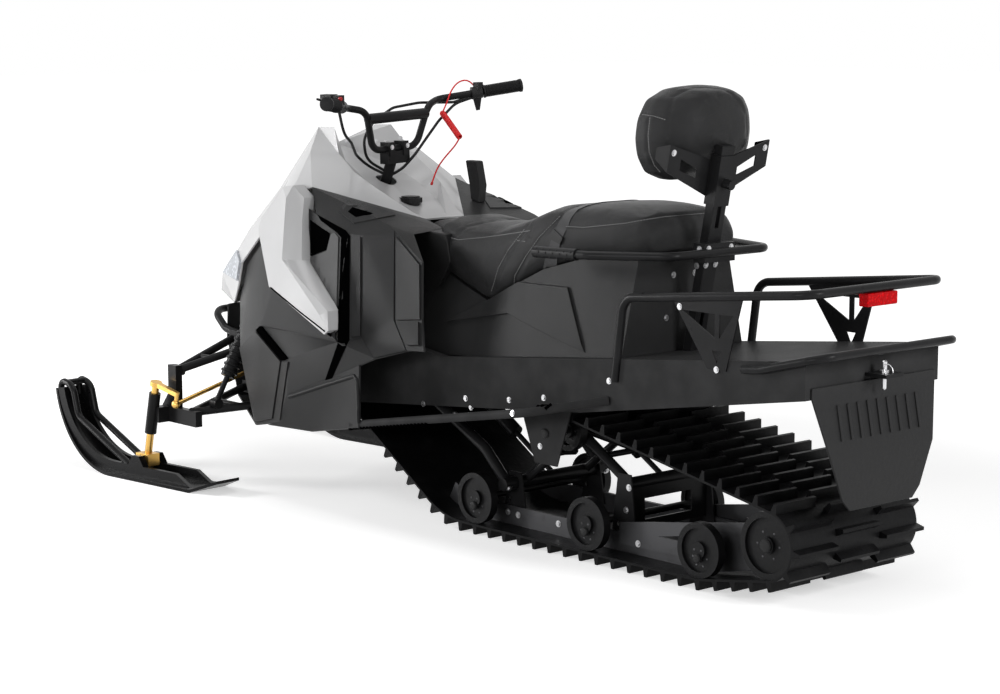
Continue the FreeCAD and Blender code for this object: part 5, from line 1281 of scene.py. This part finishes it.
@dataclass(frozen=True)
class Cushion:
    """A padded piece: its remesh, how its cover dips along seams and how far it swells between them."""

    node: str
    name: str
    voxel: float
    rounds: int
    reach: float
    depth: float
    cap: float
    held_share: float = 0.45
    underside: float = -0.6
    pressure: float = 4.0
    frames: int = 20
    fill: float = 0.8

    def firm(self) -> bpy.types.Mesh:
        """An evenly divided copy of the CAD solid with soft edges.

        Returns:
            The cover.
        """
        made = scratch(self.name, from_bmesh(self.name, welded(self.node)))
        again = made.modifiers.new("again", "REMESH")
        again.mode, again.voxel_size, again.use_smooth_shade = "VOXEL", self.voxel, True
        soft = made.modifiers.new("soft", "CORRECTIVE_SMOOTH")
        soft.iterations, soft.use_only_smooth, soft.factor = self.rounds, True, 0.5
        return evaluated(made, self.name)

    def sewn(self, mesh: bpy.types.Mesh, seams: Sequence[Sequence[Spot]]) -> list[int]:
        """Sinks a cover along its seams.

        Args:
            mesh: the cover.
            seams: the places along each seam.
        Returns:
            The numbers of the points that a seam holds.
        """
        places = [place for seam in seams for place, _ in seam]
        finder = KDTree(len(places))
        for index, place in enumerate(places):
            finder.insert(place, index)
        finder.balance()
        held = []
        for vertex, normal in zip(mesh.vertices, [vertex.normal.copy() for vertex in mesh.vertices]):
            distance = finder.find(vertex.co)[2]
            if distance < self.reach:
                vertex.co -= normal * (self.depth * (1.0 - distance / self.reach) ** 2)
                if distance < self.reach * self.held_share:
                    held.append(vertex.index)
        return held

    def swollen(self, mesh: bpy.types.Mesh, held: Sequence[int]) -> bpy.types.Mesh:
        """Blows a cover up between its seams by a cloth simulation.

        Args:
            mesh: the cover.
            held: the points that stay.
        Returns:
            The swollen cover.
        """
        start = [vertex.co.copy() for vertex in mesh.vertices]
        under = [vertex.index for vertex in mesh.vertices if vertex.normal.z < self.underside]
        made = scratch(self.name, mesh)
        made.vertex_groups.new(name="held").add(sorted(set(held) | set(under)), 1.0, "ADD")
        cloth = made.modifiers.new("cloth", "CLOTH")
        cloth.settings.use_pressure = True
        cloth.settings.uniform_pressure_force = self.pressure
        cloth.settings.effector_weights.gravity = 0.0
        cloth.settings.vertex_group_mass = "held"
        for frame in range(self.frames):
            bpy.context.scene.frame_set(frame + 1)
        result = evaluated(made, self.name)
        bpy.context.scene.frame_set(1)
        for vertex, before in zip(result.vertices, start):
            move = vertex.co - before
            if move.length > self.cap:
                vertex.co = before + move * (self.cap / move.length)
        return result

    def build(self, mesh: bpy.types.Mesh, seams: Sequence[Sequence[Spot]]) -> Surface:
        """Sews and fills a cover and shows it in the node's place.

        Args:
            mesh: the cover.
            seams: the places along each seam.
        Returns:
            Its skin.
        """
        cover = self.swollen(mesh, self.sewn(mesh, seams))
        made = scratch(self.name, cover)
        made.modifiers.new("fine", "SUBSURF").levels = 1
        fine = evaluated(made, self.name)
        for polygon in fine.polygons:
            polygon.use_smooth = True
        in_place_of(self.node, self.name, fine, "seat_cover")
        return Surface(fine)


@dataclass
class Cushions:
    """The padded seat and the backrest's pad, with their seams, threads and strap."""

    seat_shape: Cushion = Cushion("seat", "seat_cushion", voxel=0.007, rounds=14, reach=0.018,
                                  depth=0.0055, cap=0.009)
    pad_shape: Cushion = Cushion("backrest_pad", "backrest_cushion", voxel=0.005, rounds=8, reach=0.015,
                                 depth=0.005, cap=0.008)
    step: float = 3.0
    beside: float = 1.6
    thread_radius: float = 0.0009
    thread_lift: float = 0.0004
    stitch_share: float = 0.62
    strap_width: float = 0.038
    strap_thickness: float = 0.0022
    buckle_width: float = 0.046
    buckle_thickness: float = 0.006
    front_stitch: Route = ((426.5, 223.9), (440.8, 233.5), (458.2, 238.2), (481.6, 236.1), (502.0, 233.5),
                           (530.6, 229.0))
    rear_stitch: Route = ((564.9, 224.9), (583.7, 225.9), (604.0, 223.9), (624.5, 221.8), (644.9, 218.2),
                          (665.3, 215.1), (691.0, 212.9))
    first_seam: Route = ((525.5, 230.0), (510.2, 249.4), (500.0, 267.8), (492.9, 292.0))
    second_seam: Route = ((561.2, 216.7), (540.8, 237.1), (526.5, 257.6), (516.3, 275.9), (515.3, 288.0))
    pocket: Route = ((455.0, 236.0), (467.0, 226.0), (492.0, 221.0))
    strap_line: Route = ((567.3, 217.8), (557.0, 239.0), (552.0, 257.6), (548.0, 278.0), (546.5, 288.0))
    panel: Route = ((666.7, 136.0), (667.2, 121.3), (670.4, 106.7), (673.3, 96.4), (682.1, 91.3),
                    (693.9, 87.6), (707.1, 87.3), (723.2, 89.1), (732.0, 93.5), (740.8, 103.7),
                    (746.7, 115.5), (747.4, 134.5))
    pad_side: Route = ((639.6, 112.5), (654.3, 114.7), (666.0, 118.4))
    pad_front: Route = ((648.4, 118.4), (646.6, 136.0), (647.7, 152.1), (652.8, 165.3), (658.7, 172.0))

    def thread(self, name: str, lines: Sequence[Sequence[Spot]], body: str, pitch: float) -> None:
        """Lays a row of stitches along each line.

        Args:
            name: the piece's name.
            lines: the places along each line.
            body: the body that it rides on.
            pitch: the distance from stitch to stitch.
        """
        spots = []
        for line in lines:
            left = 0.0
            for (place, normal), (ahead, _) in zip(line, line[1:]):
                run = ahead - place
                while left < run.length and run.length > MERGE:
                    spot = place + run * (left / run.length) + normal * self.thread_lift
                    spots.append((spot, normal, run))
                    left += pitch
                left -= run.length
        Repeater(Shape.STITCH).lay(name, spots, "thread_grey", self.thread_radius,
                                   length=pitch * self.stitch_share, body=body)

    def mirrored(self, line: Sequence[Spot]) -> list[Spot]:
        """The same line on the other side."""
        return mirrored_spots(line)[len(line):]

    def across(self, skin: Surface, line: Sequence[Spot], count: int) -> list[Spot]:
        """That many places over the top, from a line's upper end to its mirror image."""
        return skin.over(line[0][0], line[0][0] * MIRROR, count)

    def seat(self) -> None:
        """Makes the seat."""
        mesh = self.seat_shape.firm()
        skin = Surface(mesh)
        rows = (self.front_stitch, self.rear_stitch)
        seams = (self.first_seam, self.second_seam)
        sides = [skin.along(route, self.step) for route in (*rows, *seams, self.pocket)]
        tops = [self.across(skin, line, count=40) for line in sides[2:4]]
        skin = self.seat_shape.build(mesh, sides + [self.mirrored(line) for line in sides] + tops)
        lines = [skin.along(moved(route, down=self.beside), self.step) for route in rows]
        lines += [skin.along(moved(route, right=-self.beside), self.step) for route in seams]
        lines += [self.mirrored(line) for line in lines]
        self.thread("seat_threads", lines, body_of("seat"), pitch=0.009)
        near = skin.along(self.strap_line, self.step)
        over, far = self.across(skin, near, count=30), self.mirrored(near)
        whole = list(reversed(near)) + over[1:-1] + far
        strap = ribbon("seat_strap", whole, self.strap_width, self.strap_thickness)
        piece("seat_strap", strap, "strap_web")
        buckles = [ribbon("buckle", line[6:10], self.buckle_width, self.buckle_thickness)
                   for line in (near, far)]
        piece("strap_buckles", merged("strap_buckles", buckles), "dark_plastic")

    def pad(self) -> None:
        """Makes the backrest's pad."""
        mesh = self.pad_shape.firm()
        skin = Surface(mesh)
        seams = [skin.along(route, self.step) for route in (self.panel, self.pad_side, self.pad_front)]
        skin = self.pad_shape.build(mesh, seams)
        rows = [skin.along(moved(self.pad_side, down=self.beside), self.step),
                skin.along(moved(self.pad_front, right=self.beside), self.step)]
        self.thread("backrest_threads", rows, body_of("backrest_pad"), pitch=0.007)

    def build(self) -> None:
        """Makes both."""
        self.seat()
        self.pad()


@dataclass
class Trim:
    """Panel gaps, plates and vents that the bodywork's main shapes leave out, some of them painted shade."""

    panels: Sequence[str] = ("side_panels", "knee_panels", "toe_guards", "light_shrouds", "hood",
                             "console", "belly_pan")
    band: Route = ((317.5, 214.7), (345.8, 230.3), (350.0, 235.8), (349.5, 339.2), (332.0, 378.3),
                   (325.3, 380.3), (337.7, 344.2), (341.3, 237.5), (336.7, 232.5), (321.0, 220.8))
    front_plate: Route = ((241.3, 347.5), (257.0, 331.3), (282.0, 361.3), (273.7, 418.3), (256.3, 422.5))
    plate_wall: Route = ((283.0, 361.3), (289.0, 361.7), (280.7, 420.0), (274.7, 419.2))
    stripe: Route = ((257.7, 330.0), (261.7, 326.0), (288.7, 358.3), (283.3, 360.7))
    rear_knee: Route = ((363.7, 235.3), (394.7, 230.3), (394.3, 320.3), (406.3, 350.5), (374.7, 358.0),
                        (363.3, 338.0))
    edge_knee: Route = ((397.0, 236.7), (406.7, 248.3), (420.5, 265.0), (421.0, 319.7), (397.0, 320.0))
    low_knee: Route = ((397.7, 323.0), (420.0, 323.0), (420.0, 346.0), (408.7, 346.0))
    middle_knee: Route = ((351.7, 240.0), (361.0, 237.0), (361.0, 336.7), (352.3, 336.7))
    inner_facet: Route = ((331.3, 234.7), (335.0, 233.0), (339.0, 237.5), (337.0, 306.7), (310.8, 262.5),
                          (310.8, 257.3), (327.0, 251.3))
    inset: Route = ((310.8, 220.0), (319.7, 226.7), (330.0, 233.3), (327.0, 249.7), (310.8, 255.8))
    lip: Route = ((289.2, 397.0), (320.0, 386.7), (354.2, 376.0), (357.3, 380.3), (359.0, 423.3))
    shroud_gap: Route = ((270.8, 287.7), (300.0, 312.0), (330.7, 335.8))
    fill_outline: Route = ((412.0, 228.0), (446.0, 234.0), (450.0, 262.0), (438.0, 288.0), (424.0, 312.0),
                           (415.0, 300.0))
    fill_half: float = 0.170
    vent: Route = ((338.2, 211.6), (347.9, 201.4), (395.3, 215.7), (354.0, 223.9))
    vent_hole: Route = ((348.4, 212.6), (353.0, 208.2), (374.0, 214.3), (356.2, 218.0))

    def laid(self, skin: Surface, plates: Sequence[tuple[Route, float]], step: float) -> list[bpy.types.Mesh]:
        """Thin plates on a skin, from each one's outline and how far it stands proud."""
        return [inlay("plate", skin, outline, lift, step) for outline, lift in plates]

    def build(self) -> None:
        """Lays all of it on both sides."""
        skin = Surface(*self.panels)
        raised = ((self.front_plate, 0.007), (self.plate_wall, 0.0045), (self.rear_knee, 0.003),
                  (self.edge_knee, 0.006), (self.low_knee, 0.009), (self.middle_knee, 0.005),
                  (self.vent, 0.004))
        plates = both_sides("plates", self.laid(skin, raised, step=5.0))
        piece("body_plates", bevelled("body_plates", plates, width=0.0026), "dark_plastic")
        # Band, inset, stripe, vent hole and the shroud gap are near-black plates and a bead that stand a
        # little proud: painted shade.
        painted_shade_outlines = ((self.band, 0.0022), (self.inset, 0.0030), (self.stripe, 0.0076), (self.vent_hole, 0.0048))
        painted_shade_pieces = self.laid(skin, painted_shade_outlines, step=4.0)
        painted_shade_pieces.append(bead("gap", skin, self.shroud_gap, radius=0.004, sink=0.45))
        piece("painted_shade_recesses", both_sides("painted_shade_recesses", painted_shade_pieces), "shade_and_tread_black")
        # A grey plate over a facet of the pale bodywork: painted shade.
        facets = both_sides("facets", self.laid(skin, ((self.inner_facet, 0.0034),), step=5.0))
        piece("painted_shade_facets", bevelled("painted_shade_facets", facets, width=0.001), "painted_shade_grey")
        lips = both_sides("toe_lips", [bead("lip", skin, self.lip, radius=0.0065, sink=0.2)])
        piece("toe_lips", lips, "frame_black")
        outline = [VIEW.on_plane(x, y, self.fill_half) for x, y in self.fill_outline]
        block = slab("seat_front", outline, Vector((0.0, -2 * self.fill_half, 0.0)), rounding=0.004)
        piece("seat_front", block, "dark_plastic")


@dataclass(frozen=True)
class Bolts:
    """Bolts of one size where the photograph shows them, on the body of a CAD node."""

    name: str
    radius: float
    height: float
    pixels: Route
    twins: bool = True
    node: str = "tunnel"

    def build(self, skin: Surface) -> None:
        """Lays them on a skin.

        Args:
            skin: the skin.
        """
        spots = [skin.seen(x, y) for x, y in self.pixels]
        stands = standing(mirrored_spots(spots) if self.twins else spots)
        Repeater(Shape.HEX_BOLT).lay(self.name, stands, "bright_steel", self.radius, self.height,
                                     body=body_of(self.node))


@dataclass
class Fittings:
    """Bolts, hubs, grips, tread and other small pieces."""

    bolts: Sequence[Bolts] = (
        Bolts("frame_bolts", radius=0.0062, height=0.0035, pixels=(
            (699.5, 249.3), (708.8, 249.0), (696.8, 265.8), (705.9, 265.1), (673.5, 274.9), (666.3, 317.8),
            (609.0, 381.0), (716.3, 369.8), (679.6, 306.5), (402.3, 405.4), (423.4, 403.9), (457.0, 407.8),
            (465.7, 398.4), (474.4, 408.2), (509.1, 400.0), (543.8, 397.8), (540.1, 446.2))),
        Bolts("skid_bolts", radius=0.0068, height=0.004, pixels=(
            (509.5, 488.5), (508.0, 511.7), (518.2, 514.9), (558.5, 523.8), (618.6, 523.2), (638.1, 543.8),
            (629.0, 487.8), (626.2, 510.2))),
        Bolts("bar_bolts", radius=0.0052, height=0.003, pixels=(
            (385.6, 141.7), (392.2, 147.3), (400.4, 138.2), (407.6, 145.3), (346.8, 141.2),
            (375.4, 141.2)), twins=False, node="handlebar"),
        Bolts("panel_screws", radius=0.0034, height=0.0022, pixels=((323.0, 242.0), (360.3, 212.9))),
    )
    arm_bolts: Bolts = Bolts("arm_bolts", radius=0.0062, height=0.0035, pixels=((674.0, 153.0),),
                             node="backrest_bracket")
    unbolted: Sequence[str] = ("seat", "backrest_pad", "tether_cord", "tether_coil", "track",
                               "control_cables")
    switch: tuple[float, float] = (340.0, 99.0)
    switch_profile: Route = ((-0.002, 0.0065), (0.004, 0.0065), (0.006, 0.0050), (0.0065, 0.0010))
    stud_stations: tuple[float, float] = (0.815, 0.675)
    stud_height: float = 0.856
    stud_rows: Sequence[float] = (-0.010, 0.003, 0.012)
    stud_count: int = 6
    pin_profile: Route = ((-0.045, 0.0030), (-0.041, 0.0060), (0.0, 0.0060), (0.0, 0.0120), (0.006, 0.0120),
                          (0.008, 0.0068), (0.028, 0.0068), (0.031, 0.0040))
    ring_reach: float = 0.017
    ring_back: float = 0.0068
    ring_top: float = 0.022
    ring_lean: float = 0.4
    ring_points: int = 16
    wheels: Sequence[tuple[float, float, float]] = (
        (0.0, 0.160, 0.030), (0.240, 0.085, 0.020), (0.669, 0.085, 0.020), (1.136, 0.085, 0.020),
        (0.810, 0.345, 0.022),
    )
    wheel_rivets: int = 6
    rivet_reach: float = 1.25
    tread_stations: tuple[float, float] = (0.28, 1.46)
    tread_across: float = 0.385
    tread_count: int = 74
    grip_ribs: int = 26
    rib_points: int = 4

    def fasten(self) -> None:
        """Lays the bolts."""
        skin = Surface(*(name for name in FRAME["nodes"] if name not in self.unbolted))
        for bolts in self.bolts:
            bolts.build(skin)
        self.arm_bolts.build(Surface("backrest_bracket"))

    def studs(self) -> None:
        """Dots the passenger's grips, and sets the red switch on the left control."""
        skin = Surface("grab_bar")
        first, last = self.stud_stations
        pitch = (last - first) / (self.stud_count - 1)
        dots = [skin.beside(first + pitch * (index + 0.5 * (row % 2)), self.stud_height + drop)
                for row, drop in enumerate(self.stud_rows) for index in range(self.stud_count)]
        stands = standing(mirrored_spots(dots), AHEAD)
        Repeater(Shape.DOME).lay("grip_studs", stands, "grip_rubber", radius=0.0036)
        place, normal = Surface("bar_controls").seen(*self.switch)
        button = lathe("stop_switch", self.switch_profile, place, normal, segments=20)
        piece("stop_switch", button, "red_plastic", body_of("bar_controls"))

    def towing(self) -> None:
        """Drops the pin through the hitch and hangs its ring on it."""
        points = points_of("hitch")
        low, high = points.min(axis=0), points.max(axis=0)
        top = Vector(((low[0] + high[0]) / 2, 0.0, high[2]))
        piece("tow_pin", lathe("tow_pin", self.pin_profile, top, UP, segments=24), "bright_steel")
        centre = top + Vector((-self.ring_back, 0.0, self.ring_top - self.ring_reach))
        turn = []
        for index in range(self.ring_points):
            angle = 2 * math.pi * index / self.ring_points
            back = -self.ring_lean * self.ring_reach * (1.0 - math.cos(angle))
            aside, rise = self.ring_reach * math.sin(angle), self.ring_reach * math.cos(angle)
            turn.append(centre + Vector((back, aside, rise)))
        piece("tow_ring", sweep("tow_ring", turn, radius=0.0016, closed=True), "bright_steel")

    def hubs(self) -> None:
        """Caps the wheels and rings them with rivets."""
        skin = Surface("track_wheels")
        caps, ring = [], []
        for station, height, reach in self.wheels:
            profile = ((-0.004, reach * 0.62), (0.004, reach * 0.62), (0.007, reach * 0.5), (0.008, 0.0015))
            for side in SIDES:
                place, _ = skin.beside(station, height, side)
                caps.append(lathe("cap", profile, place, Vector((0.0, side, 0.0)), segments=20))
                for index in range(self.wheel_rivets):
                    angle = 2 * math.pi * index / self.wheel_rivets
                    ahead = reach * self.rivet_reach * math.cos(angle)
                    rise = reach * self.rivet_reach * math.sin(angle)
                    ring.append(skin.beside(station + ahead, height + rise, side))
        piece("hub_caps", merged("hub_caps", caps), "dark_plastic")
        Repeater(Shape.DOME).lay("wheel_rivets", standing(ring, AHEAD), "rail_alloy", radius=0.0034)

    def tread(self) -> None:
        """Lays the ribbed tread on both running boards' outer edges."""
        skin = Surface("running_boards")
        ends = (st(station, self.tread_across, 1.0) for station in self.tread_stations)
        stands = standing(mirrored_spots(skin.over(*ends, self.tread_count)), LEFT)
        Repeater(Shape.BAR).lay("board_tread", stands, "shade_and_tread_black", radius=0.0035, height=0.007,
                                length=0.022)

    def grip_profile(self, length: float, radius: float) -> Route:
        """The ribbed profile of one grip.

        Args:
            length: the grip's length.
            radius: its largest radius.
        Returns:
            Pairs of distance along it and radius.
        """
        profile = [(0.0, radius * 0.7), (0.0005, radius), (0.005, radius), (0.006, radius * 0.9)]
        count = self.grip_ribs * self.rib_points
        for index in range(count + 1):
            share = index / count
            wave = 0.5 - 0.5 * math.cos(2 * math.pi * share * self.grip_ribs)
            profile.append((0.007 + share * (length - 0.017), radius * (0.86 + 0.09 * wave)))
        return profile + [(length - 0.009, radius), (length - 0.002, radius), (length, radius * 0.8)]

    def grips(self) -> None:
        """Turns the handlebar's ribbed grips."""
        both = points_of("grips")
        shapes = []
        for side in SIDES:
            points = both[both[:, 1] * side > 0]
            centre = points.mean(axis=0)
            axis = np.linalg.svd(points - centre, full_matrices=False)[2][0]
            axis = axis * (1.0 if axis[1] * side > 0 else -1.0)
            along = (points - centre) @ axis
            low, high = float(along.min()), float(along.max())
            radius = float(np.linalg.norm((points - centre) - np.outer(along, axis), axis=1).max())
            profile = self.grip_profile(high - low, radius)
            start = Vector(centre + axis * low)
            shapes.append(lathe("grip", profile, start, Vector(axis), segments=28))
        in_place_of("grips", "bar_grips", merged("bar_grips", shapes), "grip_rubber")

    def build(self) -> None:
        """Makes all of them."""
        self.fasten()
        self.studs()
        self.towing()
        self.hubs()
        self.tread()
        self.grips()


def aim(made: bpy.types.Object, place: Point, way: Vector) -> None:
    """Puts a lamp or a camera in its place and lets it look one way."""
    made.location = place
    made.rotation_euler = way.to_track_quat("-Z", "Y").to_euler()


@dataclass(frozen=True)
class Lamp:
    """A soft box: where it hangs, what it faces, its width and height, and its power in watts."""

    name: str
    place: Point
    target: Point
    size: tuple[float, float]
    power: float

    def build(self) -> None:
        """Hangs it."""
        light = bpy.data.lights.new(self.name, "AREA")
        light.shape, light.energy = "RECTANGLE", self.power
        light.size, light.size_y = self.size
        aim(scratch(self.name, light), self.place, Vector(self.target) - Vector(self.place))


@dataclass
class Studio:
    """Floor, lamps, world and camera."""

    floor_size: float = 40.0
    floor_drop: float = 0.0005
    floor_grey: float = 0.80
    near_level: float = 0.54
    near: float = 1.6
    far: float = 3.2
    fill: float = 0.14
    lamps: Sequence[Lamp] = (
        Lamp("overhead", (0.0, 0.4, 3.6), target=(0.0, 0.0, 0.4), size=(3.0, 1.6), power=36.0),
        Lamp("front_left", (4.2, 3.2, 2.2), target=(0.2, 0.0, 0.5), size=(1.4, 1.2), power=135.0),
        Lamp("left_side", (-1.4, 4.9, 1.5), target=(-0.2, 0.0, 0.5), size=(3.0, 0.8), power=85.0),
        Lamp("low_left", (3.9, 3.3, 0.55), target=(0.0, 0.3, 0.7), size=(1.1, 0.7), power=50.0),
        Lamp("rear_side", (-4.6, -0.6, 1.9), target=(-0.3, 0.0, 0.7), size=(1.2, 1.6), power=95.0),
    )

    def floor(self) -> None:
        """A pale floor that reads as white, with the object's shadow."""
        work = bmesh.new()
        bmesh.ops.create_grid(work, x_segments=1, y_segments=1, size=self.floor_size)
        made = scratch("floor", from_bmesh("floor", work, None))
        made.location.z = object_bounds()[0][2] - self.floor_drop
        shade = Shade("floor")
        grey = (self.floor_grey, self.floor_grey, self.floor_grey, 1.0)
        plain = shade.node("ShaderNodeBsdfDiffuse", {}, {"Color": grey})
        seen = shade.direct().maths("MINIMUM", 1.0)
        away = shade.node("ShaderNodeVectorMath", {"operation": "LENGTH"}, {0: shade.place}, "Value")
        close = (self.near_level, self.near_level, self.near_level)
        colour = shade.mixed(away.above(self.near, self.far), close, (1.0, 1.0, 1.0))
        white = shade.node("ShaderNodeEmission", {}, {"Color": colour, "Strength": seen})
        both = shade.node("ShaderNodeAddShader", {}, {0: plain, 1: white})
        made.data.materials.append(shade.end(both))
        made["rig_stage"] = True

    def world(self) -> None:
        """A soft pale sky, white where the camera or gloss sees it."""
        world = bpy.data.worlds.new("studio")
        bpy.context.scene.world = world
        world.use_nodes = True
        sky = Nodes(world.node_tree)
        values = {"Value": sky.direct(), "To Min": self.fill, "To Max": 1.0}
        level = sky.node("ShaderNodeMapRange", {}, values)
        back = sky.tree.nodes["Background"]
        back.inputs["Color"].default_value = (1.0, 1.0, 1.0, 1.0)
        sky.tree.links.new(level.link, back.inputs["Strength"])

    def camera(self) -> None:
        """The photograph's camera."""
        camera = bpy.data.cameras.new("view")
        camera.lens, camera.sensor_width, camera.sensor_fit = VIEW.lens, VIEW.sensor, "HORIZONTAL"
        made = scratch("view", camera)
        aim(made, st(*VIEW.place), Vector(VIEW.forward))
        bpy.context.scene.camera = made
        bpy.context.scene.view_settings.view_transform = "Standard"

    def build(self) -> None:
        """Sets all of it up."""
        self.floor()
        self.world()
        for lamp in self.lamps:
            lamp.build()
        self.camera()


def main() -> None:
    """Builds the studio and each sub-assembly in order, logging each one."""
    logging.basicConfig(level=logging.INFO, format="%(message)s")
    for part in (Studio(), Tether(), Shells(), Cushions(), Trim(), Fittings()):
        part.build()
        log.info("built %s", type(part).__name__)
    bpy.context.view_layer.update()


if __name__ == "__main__":
    main()
